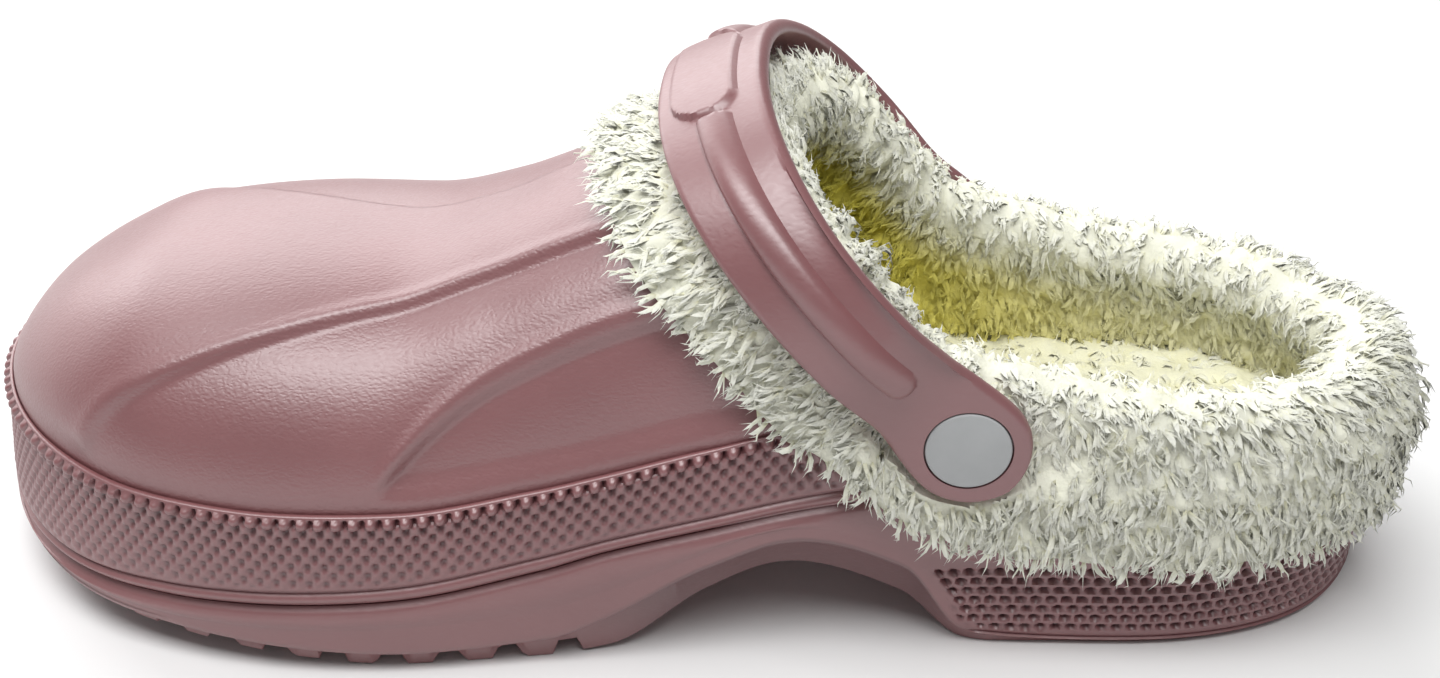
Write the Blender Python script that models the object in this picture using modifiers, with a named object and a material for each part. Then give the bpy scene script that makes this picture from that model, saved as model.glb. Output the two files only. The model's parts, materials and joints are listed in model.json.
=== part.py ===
"""A fleece-lined foam clog for the left foot, with a heel strap that swings on two rivets.

The toe points along -X, the outer (lateral) side of the foot is at -Y, and the sole stands on z = 0.
Tables and sizes are in millimetres, and MM turns them into Blender's metres.
"""

import math
from collections import namedtuple

import bmesh
import bpy
import numpy as np

MM = 0.001

# Driving dimensions
COLUMNS = 64  # points round the foam, from the heel's back along the lateral side
DOME_RINGS = 12
WALL = 3.2  # foam of the upper
GAP = 0.3  # between pieces that meet
FUR_GAP = 1.1  # between the fleece and the foam that it covers
INSOLE_THICK = 5.0
INSOLE_PLAY = 0.4
INSOLE_ROUND = 1.2
GROOVE = 1.2  # depth of the groove where the upper sits on the sole
STRIP_GROOVE = 0.7  # depth of the fine line above it
LEDGE = 3.0  # how far the side band stands out past the vamp
LEDGE_TOE = 1.8  # the same round the toe
TOE_FADE = (-136.0, -108.0)  # where along the foot it passes into the ledge of the sides
LEDGE_REAR = 0.875  # the same behind the waist, under the fleece
LEDGE_FADE = (-8.0, 12.0)  # where along the foot the one passes into the other
RIM_ROUND = 1.6  # height of the rounding of the band's rim
RIM_INSET = 0.9  # and its depth
DOME_DROP = 0.4  # the vamp's foot below the rim
FRONT_TURNS = (0.24, 0.34)  # shares of the way round from the toe where vamp passes into heel wall
TREAD_ROUND = 0.8  # rounding of the sole's lower lip
STEP_SLOPE = 1.0  # height of the slope over the recess in the sole's side
PIVOT_X = 44.3
PIVOT_Z = 47.8
STRAP_LEAN = 47.5  # degrees above the floor, towards the toe
STRAP_SWING = 108.0  # degrees back over the heel
STRAP_HALF_SPAN = 42.5  # from the shoe's middle to the strap's middle layer at a rivet
STRAP_BULGE = 46.8  # the same at the hoop's shoulders
STRAP_SHOULDER = 28.0  # distance of the shoulders from the rivets' axis
STRAP_REACH = 67.0  # distance of the hoop's top from it
STRAP_POWER = 2.3  # squareness of the hoop above the shoulders
STRAP_TILT = 0.39  # slope of the band's face across its width, at the hoop's top
STRAP_THICK = 3.4
STRAP_HALF_WIDTH = 9.2
STRAP_EDGE = 0.9  # rounding of its edges
HEAD_RADIUS = 11.0
HEAD_FLAT = 9.0  # distance from the rivets' axis where the arms begin to bow
HEAD_TAPER = 16.0  # and where the head has narrowed to the strap
SWING_ROOM = 0.7  # fleece stays this far inside the strap
PAD_HALF_LENGTH = 19.0
PAD_EDGE = 0.5  # half the slope at its ends
PAD_RAISE = 1.2
PAD_SPAN = (-0.8, 0.45)  # where the pad lies across the strap, in shares of its half width
RIB_PART = 0.41  # half width of the rib, in the same shares
RIB_RAISE = 1.5
RIB_FROM = 17.0  # distance of the rib's round end from the rivets' axis
RIVET_RADIUS = 7.4
RIVET_HEAD = 1.3  # depth of the head let into the strap
RIVET_PROUD = 0.2
RIVET_DOME = 0.5
RIVET_EDGE = 0.4
SHANK_RADIUS = 4.0
CLINCH_RADIUS = 6.0
CLINCH_THICK = 1.2
CLINCH_SEAT = 33.2  # from the shoe's middle
LUG_PITCH = 10.7
LUG_GROOVE = 4.6
LUG_DEPTH = 3.0
LUG_FIRST_X = -122.0
LUG_COUNT = 10
LUG_TAPER = (1.6, 0.75)  # groove widths below and at its roof
LUG_SPAN = 140.0

# Plan of the side band, the widest line of the shoe
Plan = namedtuple("Plan", "x lateral medial")
HEEL_BACK = (127, 0)
TOE_TIP = (-141.5, 8)
PLAN = (
    Plan(121, -16, 16),
    Plan(108, -28.5, 28.5),
    Plan(88, -35.6, 35.6),
    Plan(60, -37.4, 37.4),
    Plan(30, -38.5, 37.8),
    Plan(0, -42.5, 40.5),
    Plan(-30, -46, 46),
    Plan(-60, -50, 51.5),
    Plan(-82, -49.5, 52.5),
    Plan(-105, -43.5, 48),
    Plan(-123, -30.5, 37),
    Plan(-136, -12, 24),
)

# Plan of the foam's collar edge, and its height
Collar = namedtuple("Collar", "x lateral medial height")
COLLAR_HEEL = Collar(122.5, 0, 0, 45.5)
COLLAR_THROAT = Collar(6.5, 2, 2, 86)
COLLAR = (
    Collar(110, -23, 23, 45.6),
    Collar(90, -33, 33, 46.5),
    Collar(65, -36, 36, 50),
    Collar(44, -36.8, 36.8, 57),
    Collar(36, -36.6, 36.6, 62.5),
    Collar(28, -35.2, 35.2, 72),
    Collar(20, -31, 31.5, 80),
    Collar(12, -22.5, 23.5, 84.5),
)

# Heights along the side: ground line, lower lip, split from sole to upper, fine line, rim of the band
Side = namedtuple("Side", "x tread lip split strip rim")
SIDE = (
    Side(-141.5, 8, 11, 13.2, 15.8, 37),
    Side(-121, 5.2, 8.4, 12.6, 15.4, 36.4),
    Side(-98, 3.6, 6.8, 13.2, 16.3, 35.3),
    Side(-76, 1.6, 5.2, 14.4, 17.6, 34.6),
    Side(-54, 0, 4, 15.8, 19.1, 34.7),
    Side(-30, 0, 5.4, 20.4, 23.8, 38),
    Side(-18, 1.2, 10, 24, 27, 40.7),
    Side(0, 10.5, 20, 28, 31, 45.2),
    Side(15, 14, 24.6, 31, 34, 48),
    Side(35, 8, 18, 33.3, 36.7, 46),
    Side(47, 0, 3.5, 34, 37.5, 43.5),
    Side(70, 0, 2, 34, 37.5, 41),
    Side(116, 0, 2, 34, 37.5, 40.5),
    Side(127, 1.2, 3, 34, 37.5, 40.5),
)

# How far in from the plan the tread's edge and the undercut above it lie, the top of the recess in the
# side and its depth, how far the low part of the side flares out, and the height of the footbed
Under = namedtuple("Under", "x tread_in undercut_in step step_in flare footbed")
UNDER = (
    Under(-141.5, 3.4, 2.8, 12, 0, 2.6, 11.8),
    Under(-120, 3.0, 2.4, 10, 0, 1.8, 11.8),
    Under(-98, 2.6, 2.2, 9, 0, 0, 12.2),
    Under(-36, 2.4, 2.0, 11, 0, 0, 17),
    Under(-18, 3.4, 3.0, 16, 0, 0, 19),
    Under(15, 9.0, 5.5, 27.5, 0, 0, 22.5),
    Under(36, 7.0, 4.0, 22, 0, 0, 23),
    Under(52, 2.2, 1.6, 19.7, 1.0, 0, 23),
    Under(127, 2.2, 1.6, 19.7, 1.0, 0, 23),
)

# Crest of the vamp, and where it runs across the foot
Crest = namedtuple("Crest", "x height across")
CREST = (
    Crest(-138.5, 36.6, 8),
    Crest(-134, 42.5, 7.5),
    Crest(-127, 50.7, 7),
    Crest(-117, 57.8, 6),
    Crest(-101, 62.8, 5),
    Crest(-78, 65.6, 4),
    Crest(-58, 66.4, 3),
    Crest(-40, 71.4, 2),
    Crest(-26, 77.4, 2),
    Crest(-11, 83, 2),
    Crest(7, 86.3, 2),
    Crest(44, 98, 0),
)
SECTION_POWER = 2.7  # squareness of a section across the vamp

# Edges of the raised middle panel of the vamp, and the line on each side below which the wall steps in
Panel = namedtuple("Panel", "x near far")
PANEL = (
    Panel(-112, -37, 33),
    Panel(-97, -35.2, 21.5),
    Panel(-81, -31.6, 13.5),
    Panel(-56, -24.8, 5.5),
    Panel(-38, -22, 3.5),
    Panel(-22, -21.2, 5),
    Panel(7, -20, 10),
)
PANEL_RAISE = 1.5
PANEL_FADE = (-122.0, -108.0)  # where it rises out of the toe
Flange = namedtuple("Flange", "x height")
FLANGE = (
    Flange(-60, 34.5),
    Flange(-54, 41.5),
    Flange(-47, 48.4),
    Flange(-38.6, 54.3),
    Flange(-30, 58.6),
    Flange(-20, 63),
    Flange(-5, 68),
    Flange(20, 74),
)
FLANGE_STEP = 1.6
FLANGE_FADE = (-62.0, -54.0)
STEP_WIDTH = 2.2
RELIEF_FADE = (1.0, 7.0)  # heights above the rim where the steps rise out of the wall

# Fleece, by the collar's x: how far it hangs outside, how far it lines the inside, depth of the pile
Fur = namedtuple("Fur", "x skirt lining roll")
FUR = (
    Fur(6.5, 28, 16, 7.5),
    Fur(20, 28.5, 17, 6.5),
    Fur(36, 28, 22, 6.5),
    Fur(44, 31, 28, 6.5),
    Fur(65, 28, 60, 6.5),
    Fur(112, 26.5, 60, 6.5),
    Fur(122, 28, 60, 6.2),
)
LOCK_RAISE = 1.8
LOCK_DROP = 2.4
LOCK_ZIGZAG = 2.2
LOCK_SPAN = 8.0  # how far a lock's faces reach
FUR_DROP = 22.0  # room for fleece below the split, on the heel block
FUR_LIFT = 1.4  # its lower edge inside, above the insole

# Surface of each material: colour, roughness
Finish = namedtuple("Finish", "colour roughness")
FOAM = Finish((0.50, 0.26, 0.27), 0.55)
FLEECE = Finish((0.82, 0.80, 0.66), 0.95)
BUTTON = Finish((0.40, 0.41, 0.42), 0.5)


def smooth(rows, name):
    """The named column as a function of x: cubics through the rows that never swing past them."""
    rows = sorted(rows, key=lambda row: row.x)
    xs = np.array([row.x for row in rows], float)
    ys = np.array([getattr(row, name) for row in rows], float)
    steps = np.diff(xs)
    slopes = np.diff(ys) / steps
    tangents = np.concatenate([slopes[:1], np.zeros(len(xs) - 2), slopes[-1:]])
    before, after = slopes[:-1], slopes[1:]
    rising = before * after > 0
    tangents[1:-1][rising] = (2 * before * after)[rising] / (before + after)[rising]

    def at(x):
        x = np.clip(x, xs[0], xs[-1])
        k = np.clip(np.searchsorted(xs, x, side="right") - 1, 0, len(xs) - 2)
        t = (x - xs[k]) / steps[k]
        ends = ys[k] * (1 + 2 * t) * (1 - t) ** 2 + ys[k + 1] * t**2 * (3 - 2 * t)
        return ends + steps[k] * t * (1 - t) * (tangents[k] * (1 - t) - tangents[k + 1] * t)

    return at


def ramp(t, start=0, end=1):
    """0 before the start, 1 after the end, and a soft S between."""
    t = np.clip((t - start) / (end - start), 0, 1)
    return t * t * (3 - 2 * t)


def unit(vectors):
    return vectors / np.linalg.norm(vectors, axis=-1, keepdims=True)


def outline(rows, heel, toe, steps=40):
    """A closed smooth plan curve, from the heel along the lateral side to the toe and back."""
    lateral = [(row.x, row.lateral) for row in rows]
    medial = [(row.x, row.medial) for row in reversed(rows)]
    points = np.array([heel, *lateral, toe, *medial], float)
    following = np.roll(points, -1, 0)
    chord = np.linalg.norm(following - points, axis=1)[:, None]
    tangent = (following - np.roll(points, 1, 0)) / (chord + np.roll(chord, 1, 0))
    t = (np.arange(steps) / steps)[None, :, None]
    start, end = points[:, None], following[:, None]
    leave, arrive = (tangent * chord)[:, None], (np.roll(tangent, -1, 0) * chord)[:, None]
    curve = start * (1 + 2 * t) * (1 - t) ** 2 + end * t**2 * (3 - 2 * t)
    return (curve + leave * t * (1 - t) ** 2 - arrive * t**2 * (1 - t)).reshape(-1, 2)


def stations(loop, count):
    """Points spread along a plan curve so that heel, rivets and toe have the same index on each curve."""
    closed = np.vstack([loop, loop[:1]])
    along = np.concatenate([[0], np.cumsum(np.linalg.norm(np.diff(closed, axis=0), axis=1))])
    front = np.flatnonzero(loop[:, 0] < PIVOT_X)
    toe = np.argmin(loop[:, 0])
    keys = along[[0, front[0], toe, front[-1] + 1, len(loop)]]
    places = np.interp(np.arange(count) / count, [0, 0.2, 0.5, 0.8, 1], keys)
    return np.column_stack([np.interp(places, along, closed[:, axis]) for axis in (0, 1)])


PLAN_CURVE = outline(PLAN, HEEL_BACK, TOE_TIP)
COLLAR_CURVE = outline(COLLAR, COLLAR_HEEL[:2], COLLAR_THROAT[:2])
side = {name: smooth(SIDE, name) for name in Side._fields[1:]}
under = {name: smooth(UNDER, name) for name in Under._fields[1:]}
collar_height = smooth((COLLAR_HEEL, *COLLAR, COLLAR_THROAT), "height")


class Body:
    """The foam body of the shoe, as surfaces on a given number of columns round the plan."""

    def __init__(self, columns):
        self.count = columns
        self.plan = stations(PLAN_CURVE, columns)
        ahead = np.roll(self.plan, -1, 0) - np.roll(self.plan, 1, 0)
        self.out = unit(np.column_stack([-ahead[:, 1], ahead[:, 0]]))
        self.x = self.plan[:, 0]
        self.collar = stations(COLLAR_CURVE, columns)
        self.foot = LEDGE_TOE + (LEDGE - LEDGE_TOE) * ramp(self.x, *TOE_FADE)
        self.foot += (LEDGE_REAR - LEDGE) * ramp(self.x, *LEDGE_FADE)
        self.inner = self.foot + WALL
        self.dome, self.normals = self.make_dome()

    def level(self, name):
        return (side.get(name) or under[name])(self.x)

    def ring(self, inset, height):
        """The plan drawn in by an inset, at a height: each is one value, or one for each column."""
        flat = self.plan - self.out * np.broadcast_to(inset, self.count)[:, None]
        return np.column_stack([flat, np.broadcast_to(height, self.count)])

    def make_dome(self):
        """Rings of the vamp and heel wall, from the band's rim to the collar, and their normals."""
        base = self.ring(self.foot, self.level("rim") - DOME_DROP)
        top = collar_height(self.collar[:, 0])
        angle = np.linspace(0, math.pi / 2, DOME_RINGS)[:, None]
        turn = np.abs(np.arange(self.count) / self.count - 0.5)
        front = 1 - ramp(turn, *FRONT_TURNS)
        rounded, straight = 1 - np.cos(angle), angle / (math.pi / 2)
        inward = straight + (rounded - straight) * front
        flat = base[:, :2] + (self.collar - base[:, :2]) * inward[..., None]
        wall = base[:, 2] + (top - base[:, 2]) * straight
        vamp = self.last_height(base, flat)
        vamp = vamp + (top - vamp[-1]) * rounded**2
        rings = np.dstack([flat, wall + (vamp - wall) * front])
        along = np.roll(rings, -1, 1) - np.roll(rings, 1, 1)
        return rings, unit(np.cross(np.gradient(rings, axis=0), along))

    def last_height(self, base, flat):
        """Height of the last over a plan point: a rounded section from side to side, under the crest."""
        half = self.count // 2
        lateral, medial = base[half::-1], np.vstack([base[half:], base[:1]])
        x, y = flat[..., 0], flat[..., 1]
        middle = smooth(CREST, "across")(x)
        edges = [np.interp(x, run[:, 0], run[:, 1]) for run in (lateral, medial)]
        edge = np.where(y < middle, edges[0], edges[1]) - middle
        part = np.clip((y - middle) / np.where(np.abs(edge) < 0.01, 0.01, edge), 0, 1)
        rim = side["rim"](x) - DOME_DROP
        crest = np.maximum(smooth(CREST, "height")(x), rim)
        return rim + (crest - rim) * np.sqrt(1 - part**SECTION_POWER)

    def inside(self):
        """Every second ring of the foam's inner face, from the collar down."""
        return (self.dome - self.normals * WALL)[::-2]

    def relief(self):
        """Raised middle panel and stepped-in sides of the vamp, along the dome's normals."""
        x, y, z = np.moveaxis(self.dome, -1, 0)
        inside = np.minimum(y - smooth(PANEL, "near")(x), smooth(PANEL, "far")(x) - y)
        panel = PANEL_RAISE * ramp(0.5 + inside / STEP_WIDTH)
        below = ramp(0.5 + (smooth(FLANGE, "height")(x) - z) / STEP_WIDTH)
        raised = panel * ramp(x, *PANEL_FADE) - FLANGE_STEP * below * ramp(x, *FLANGE_FADE)
        return self.normals * (raised * ramp(z - side["rim"](x), *RELIEF_FADE))[..., None]


def add_object(name, mesh, finish, parent, collection):
    material = bpy.data.materials.new(name)
    material.use_nodes = True
    shader = material.node_tree.nodes["Principled BSDF"]
    shader.inputs["Base Color"].default_value = (*finish.colour, 1)
    shader.inputs["Roughness"].default_value = finish.roughness
    shader.inputs["Metallic"].default_value = 0
    mesh.materials.append(material)
    mesh.shade_smooth()
    mesh.set_sharp_from_angle(angle=math.radians(35))
    piece = bpy.data.objects.new(name, mesh)
    piece.parent = parent
    collection.objects.link(piece)
    return piece


def mesh_of(name, points, faces):
    mesh = bpy.data.meshes.new(name)
    mesh.from_pydata((np.asarray(points) * MM).tolist(), [], faces)
    shape = bmesh.new()
    shape.from_mesh(mesh)
    bmesh.ops.recalc_face_normals(shape, faces=shape.faces)
    shape.to_mesh(mesh)
    shape.free()
    return mesh


def skin(ring_count, columns, wrap):
    """Quads between rings of points, where wrap joins the last ring to the first."""
    quads = []
    for ring in range(ring_count if wrap else ring_count - 1):
        low, high = ring * columns, (ring + 1) % ring_count * columns
        for k in range(columns):
            after = (k + 1) % columns
            quads.append((low + k, low + after, high + after, high + k))
    return quads


def capped(name, rings, floor, roof, across):
    """A solid with its sides through rings of points, closed below and above by surfaces of x."""
    columns = len(rings[0])
    points = [tuple(point) for ring in rings for point in ring]
    faces = skin(len(rings), columns, wrap=False)
    for first, height in ((0, floor), ((len(rings) - 1) * columns, roof)):
        rows = []
        for k in range(columns // 2 + 1):
            ends = first + k, first + (columns - k) % columns
            row = [ends[0]]
            for part in np.linspace(0, 1, across + 1)[1:-1]:
                if ends[0] == ends[1]:
                    row.append(ends[0])
                    continue
                x, y = (np.array(points[ends[0]]) * (1 - part) + np.array(points[ends[1]]) * part)[:2]
                row.append(len(points))
                points.append((x, y, float(height(x))))
            rows.append([*row, ends[1]])
        for row, beyond in zip(rows, rows[1:]):
            for k in range(across):
                corners = row[k], row[k + 1], beyond[k + 1], beyond[k]
                faces.append(tuple(dict.fromkeys(corners)))
    return mesh_of(name, points, [face for face in faces if len(face) > 2])


def make_upper(body):
    split, strip, rim = (body.level(name) for name in ("split", "strip", "rim"))
    flare = body.level("flare")
    band = [
        body.ring(GROOVE - flare, split + GAP / 2),
        body.ring(-flare, split + GROOVE),
        body.ring(-flare, strip - STRIP_GROOVE),
        body.ring(STRIP_GROOVE - flare, strip),
        body.ring(-flare, strip + STRIP_GROOVE),
        body.ring(0, rim - RIM_ROUND),
        body.ring(np.minimum(RIM_INSET, body.foot / 2), rim),
    ]
    outside = body.dome + body.relief()
    foot = [body.ring(body.inner, rim - RIM_INSET), body.ring(body.inner, split + GAP / 2)]
    rings = [*band, *outside, *body.inside(), *foot]
    return mesh_of("upper", np.vstack(rings), skin(len(rings), body.count, wrap=True))


def make_sole(body):
    tread, lip, split = (body.level(name) for name in ("tread", "lip", "split"))
    step, step_in, flare = (body.level(name) for name in ("step", "step_in", "flare"))
    rings = [
        body.ring(body.level("tread_in") - flare, tread),
        body.ring(body.level("undercut_in") - flare, lip - TREAD_ROUND),
        body.ring(TREAD_ROUND / 2 + step_in - flare, lip),
        body.ring(step_in - flare, step - STEP_SLOPE / 2),
        body.ring(-flare, step + STEP_SLOPE / 2),
        body.ring(-flare, split - GROOVE),
        body.ring(GROOVE - flare, split - GAP / 2),
        body.ring(body.inner, split - GAP / 2),
        body.ring(body.inner, under["footbed"](body.x)),
    ]
    return capped("sole", rings, side["tread"], under["footbed"], across=4)


def make_insole(body):
    footbed = body.level("footbed")
    edge = body.inner + INSOLE_PLAY
    rings = [
        body.ring(edge, footbed + GAP),
        body.ring(edge, footbed + INSOLE_THICK - INSOLE_ROUND),
        body.ring(edge + INSOLE_ROUND, footbed + INSOLE_THICK),
    ]
    return capped(
        "fleece_insole",
        rings,
        lambda x: under["footbed"](x) + GAP,
        lambda x: under["footbed"](x) + INSOLE_THICK,
        across=3,
    )


def walk(points, normals, lengths):
    """Places, and normals there, at given lengths along a path of rings down each column."""
    steps = np.linalg.norm(np.diff(points, axis=0), axis=-1)
    along = np.vstack([np.zeros(points.shape[1]), np.cumsum(steps, axis=0)])
    place, normal = np.empty((2, len(lengths), points.shape[1], 3))
    for k in range(points.shape[1]):
        for axis in range(3):
            place[:, k, axis] = np.interp(lengths[:, k], along[:, k], points[:, k, axis])
            normal[:, k, axis] = np.interp(lengths[:, k], along[:, k], normals[:, k, axis])
    return place, unit(normal)


def clear_of_strap(points):
    """Draws fleece in to the inside of the swinging strap, wherever its arms and its top pass."""
    forward, up = PIVOT_X - points[..., 0], points[..., 2] - PIVOT_Z
    reach = np.maximum(np.hypot(forward, up), 0.1)
    angle = np.degrees(np.arctan2(up, forward))
    spread = np.degrees(np.arcsin(np.clip((HEAD_RADIUS + LOCK_SPAN) / reach, 0, 1)))
    swept = (angle > STRAP_LEAN - spread) & (angle < STRAP_LEAN + STRAP_SWING + spread)
    nearest = np.sqrt(np.maximum(reach**2 - HEAD_RADIUS**2, 0))
    inset = STRAP_THICK / 2 + SWING_ROOM
    room = np.minimum(hoop_span(nearest), hoop_span(reach + STRAP_THICK / 2)) - inset
    beside = (swept & (reach < STRAP_SHOULDER)) | (reach < HEAD_RADIUS + LOCK_SPAN)
    limit = np.where(beside, room, np.inf)
    y = np.clip(points[..., 1], -limit, limit)
    # Above the shoulders the hoop's inside is a rounded arch, whose roof slopes with the band's tilt.
    across = np.minimum(reach * np.sin(np.radians(angle - STRAP_LEAN)), STRAP_HALF_WIDTH)
    roof = STRAP_REACH - inset - STRAP_TILT * across - STRAP_SHOULDER
    rise = np.maximum(reach - STRAP_SHOULDER, 0)
    fill = (rise / roof) ** STRAP_POWER + np.abs(y / (STRAP_BULGE - inset)) ** STRAP_POWER
    shrink = np.where(swept & (rise > 0), np.maximum(fill, 1) ** (-1 / STRAP_POWER), 1)
    drawn = (np.minimum(reach, STRAP_SHOULDER) + rise * shrink) / reach
    return np.stack([PIVOT_X - forward * drawn, y * shrink, PIVOT_Z + up * drawn], axis=-1)


def make_fur(body):
    """Deep pile on a sleeve that follows the foam up outside, over its edge and down inside."""
    edge_x = body.collar[:, 0]
    skirt, lining, roll = (smooth(FUR, name)(edge_x) for name in ("skirt", "lining", "roll"))
    flat_out = np.column_stack([body.out, np.zeros(body.count)])
    rim, split = body.level("rim"), body.level("split")
    outer = [*(body.dome + body.relief())[::-1]]
    outer += [body.ring(0, height) for height in (rim - RIM_ROUND, split, split - FUR_DROP)]
    outer_normals = [*body.normals[::-1], flat_out, flat_out, flat_out]
    inner = [*body.inside(), body.ring(body.inner, rim - RIM_INSET)]
    inner.append(body.ring(body.inner, body.level("footbed") + INSOLE_THICK + FUR_LIFT))
    inner_normals = -np.array([*body.normals[::-2], flat_out, flat_out])
    inner = np.array(inner)
    room = np.linalg.norm(np.diff(inner, axis=0), axis=-1).sum(axis=0)
    zigzag = LOCK_ZIGZAG * np.where(np.arange(body.count) % 2, 1, -1)
    hang = np.outer([1, 0.7, 0.45, 0.22], skirt)
    hang[0] += zigzag
    out_place, out_normal = walk(np.array(outer), np.array(outer_normals), hang)
    in_place, in_normal = walk(inner, inner_normals, np.outer([0.3, 0.65, 1], np.minimum(lining, room)))
    rise = unit(body.dome[-1] - body.dome[-2])
    brim_out = unit(body.normals[-1] + rise)
    brim_in = unit(rise - body.normals[-1])
    place = np.array([*out_place, outer[0], inner[0], *in_place])
    normal = np.array([*out_normal, brim_out, brim_in, *in_normal])
    depth = np.outer([0.5, 0.7, 0.8, 0.9, 1, 1, 0.75, 0.6, 0.5], roll)
    back = place + normal * FUR_GAP
    front = clear_of_strap(back + normal * depth[..., None])
    rings = [*front, *back[::-1]]
    mesh = mesh_of("fleece_collar", np.vstack(rings), skin(len(rings), body.count, wrap=True))
    return raise_locks(mesh, (len(front) - 1) * body.count)


def raise_locks(mesh, visible):
    """Pokes each visible face up into a pointed lock that leans down the pile."""
    shape = bmesh.new()
    shape.from_mesh(mesh)
    shape.faces.ensure_lookup_table()
    poked = bmesh.ops.poke(shape, faces=shape.faces[:visible])
    for k, vertex in enumerate(poked["verts"]):
        lift = LOCK_RAISE * (0.75 + 0.25 * math.sin(k * 2.4))
        lean = LOCK_DROP * (0.6 + 0.4 * math.sin(k * 1.7))
        normal = sum((face.normal for face in vertex.link_faces), start=vertex.normal * 0)
        normal.normalize()
        move = normal * lift
        move.z -= lean * (1 - abs(normal.z))
        place = clear_of_strap(np.array(vertex.co + move * MM) / MM)
        vertex.co = place * MM
    shape.to_mesh(mesh)
    shape.free()
    return mesh


def hoop_span(reach):
    """Half the span of the strap's middle layer: flat heads, arms that bow out, a rounded top."""
    bow = ramp(reach, HEAD_FLAT, STRAP_SHOULDER)
    arm = STRAP_HALF_SPAN + (STRAP_BULGE - STRAP_HALF_SPAN) * bow
    above = np.clip((reach - STRAP_SHOULDER) / (STRAP_REACH - STRAP_SHOULDER), 0, 1)
    return np.where(above > 0, STRAP_BULGE * (1 - above**STRAP_POWER) ** (1 / STRAP_POWER), arm)


def strap_half_width(reach):
    """Half the strap's width at a distance from the rivets' axis, round at the head."""
    head = math.sqrt(max(HEAD_RADIUS**2 - min(reach, 0) ** 2, 0))
    return head + (STRAP_HALF_WIDTH - HEAD_RADIUS) * float(ramp(reach, 0, HEAD_TAPER))


def strap_section(half_width, pad, rib):
    """Section of the strap, as (across, out): outer face with pad and rib, then the rounded rest."""
    half, edge = STRAP_THICK / 2, STRAP_EDGE
    parts = np.array([-1, -0.84, -0.74, -0.4, -0.2, 0, 0.2, 0.4, 0.5, 0.8, 1])
    round_rib = np.sqrt(np.maximum(1 - (parts / RIB_PART) ** 2, 0))
    on_pad = (parts > PAD_SPAN[0]) & (parts < PAD_SPAN[1])
    raised = np.maximum(pad * on_pad, rib * round_rib)
    outer = np.column_stack([parts * (half_width - edge), half + raised])
    rest = [(half_width, half - edge), (half_width, edge - half), (half_width - edge, -half)]
    mirrored = [(-across, out) for across, out in reversed(rest)]
    return np.vstack([outer, rest, mirrored])


def make_strap():
    """The hoop: stations from the lateral head over the top to the medial head, in the rivets' frame."""
    pad_ends = np.array([PAD_HALF_LENGTH + PAD_EDGE, PAD_HALF_LENGTH - PAD_EDGE]) / STRAP_BULGE
    turns = [*np.linspace(0, math.pi / 2, 9)[:-1], *np.arccos(pad_ends ** (STRAP_POWER / 2))]
    rounded = np.sin(np.sort(turns)) ** (2 / STRAP_POWER)
    rounded = STRAP_SHOULDER + (STRAP_REACH - STRAP_SHOULDER) * rounded
    reaches = np.array([-10.7, -9.4, -6.8, -3.4, 0, 4, 9, 13, 18, 23, *rounded])
    half = np.column_stack([hoop_span(reaches), reaches])
    path = np.vstack([half * (-1, 1), [(0, STRAP_REACH)], half[::-1]])
    tangent = unit(np.gradient(path, axis=0))
    outward = np.column_stack([-tangent[:, 1], tangent[:, 0]])
    lean = math.radians(STRAP_LEAN)
    along = np.array([-math.cos(lean), 0, math.sin(lean)])
    across = np.array([math.sin(lean), 0, math.cos(lean)])
    rings = []
    for (y, reach), (out_y, out_reach) in zip(path, outward):
        on_top = abs(y) < PAD_HALF_LENGTH
        pad = PAD_RAISE if on_top else 0
        rib = RIB_RAISE if reach > RIB_FROM and not on_top else 0
        section = strap_section(strap_half_width(reach), pad, rib)
        centre = along * reach + np.array([0, y, 0])
        out = along * out_reach + np.array([0, out_y, 0])
        width = across - along * STRAP_TILT * ramp(reach, STRAP_SHOULDER, STRAP_REACH)
        rings.append(centre + section[:, :1] * width + section[:, 1:] * out)
    count = len(rings[0])
    ends = [tuple(range(count)), tuple(range((len(rings) - 1) * count, len(rings) * count))]
    return mesh_of("heel_strap", np.vstack(rings), [*skin(len(rings), count, wrap=False), *ends])


def rivet_mesh(name, clearance):
    """A turned button: low domed head, shank and clinch flange, each grown by a clearance."""
    top = STRAP_HALF_SPAN + STRAP_THICK / 2 + RIVET_PROUD
    seat = top - RIVET_HEAD - clearance
    clinch_top, clinch_end = CLINCH_SEAT + clearance, CLINCH_SEAT - CLINCH_THICK - clearance
    head, shank, clinch = (size + clearance for size in (RIVET_RADIUS, SHANK_RADIUS, CLINCH_RADIUS))
    top += 4 * clearance  # a cutter reaches out past the face that it opens
    profile = [
        (0, top + RIVET_DOME),
        (head * 0.6, top + RIVET_DOME * 0.7),
        (head - RIVET_EDGE, top),
        (head, top - RIVET_EDGE),
        (head, seat),
        (shank, seat),
        (shank, clinch_top),
        (clinch, clinch_top),
        (clinch, clinch_end),
        (0, clinch_end),
    ]
    mesh = bpy.data.meshes.new(name)
    links = [(k, k + 1) for k in range(len(profile) - 1)]
    mesh.from_pydata([(radius * MM, 0, height * MM) for radius, height in profile], links, [])
    return mesh


def turn(piece, sides=24):
    screw = piece.modifiers.new("Turned", "SCREW")
    screw.axis = "Z"
    screw.steps = screw.render_steps = sides
    screw.use_merge_vertices = True
    screw.merge_threshold = 0.00001
    return piece


def cut(piece, cutter):
    boolean = piece.modifiers.new("Cut by " + cutter.name, "BOOLEAN")
    boolean.operation = "DIFFERENCE"
    boolean.object = cutter


def add_cutter(name, mesh, parent, collection):
    cutter = bpy.data.objects.new(name, mesh)
    cutter.parent = parent
    cutter.hide_render = True
    cutter.display_type = "WIRE"
    collection.objects.link(cutter)
    return cutter


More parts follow.
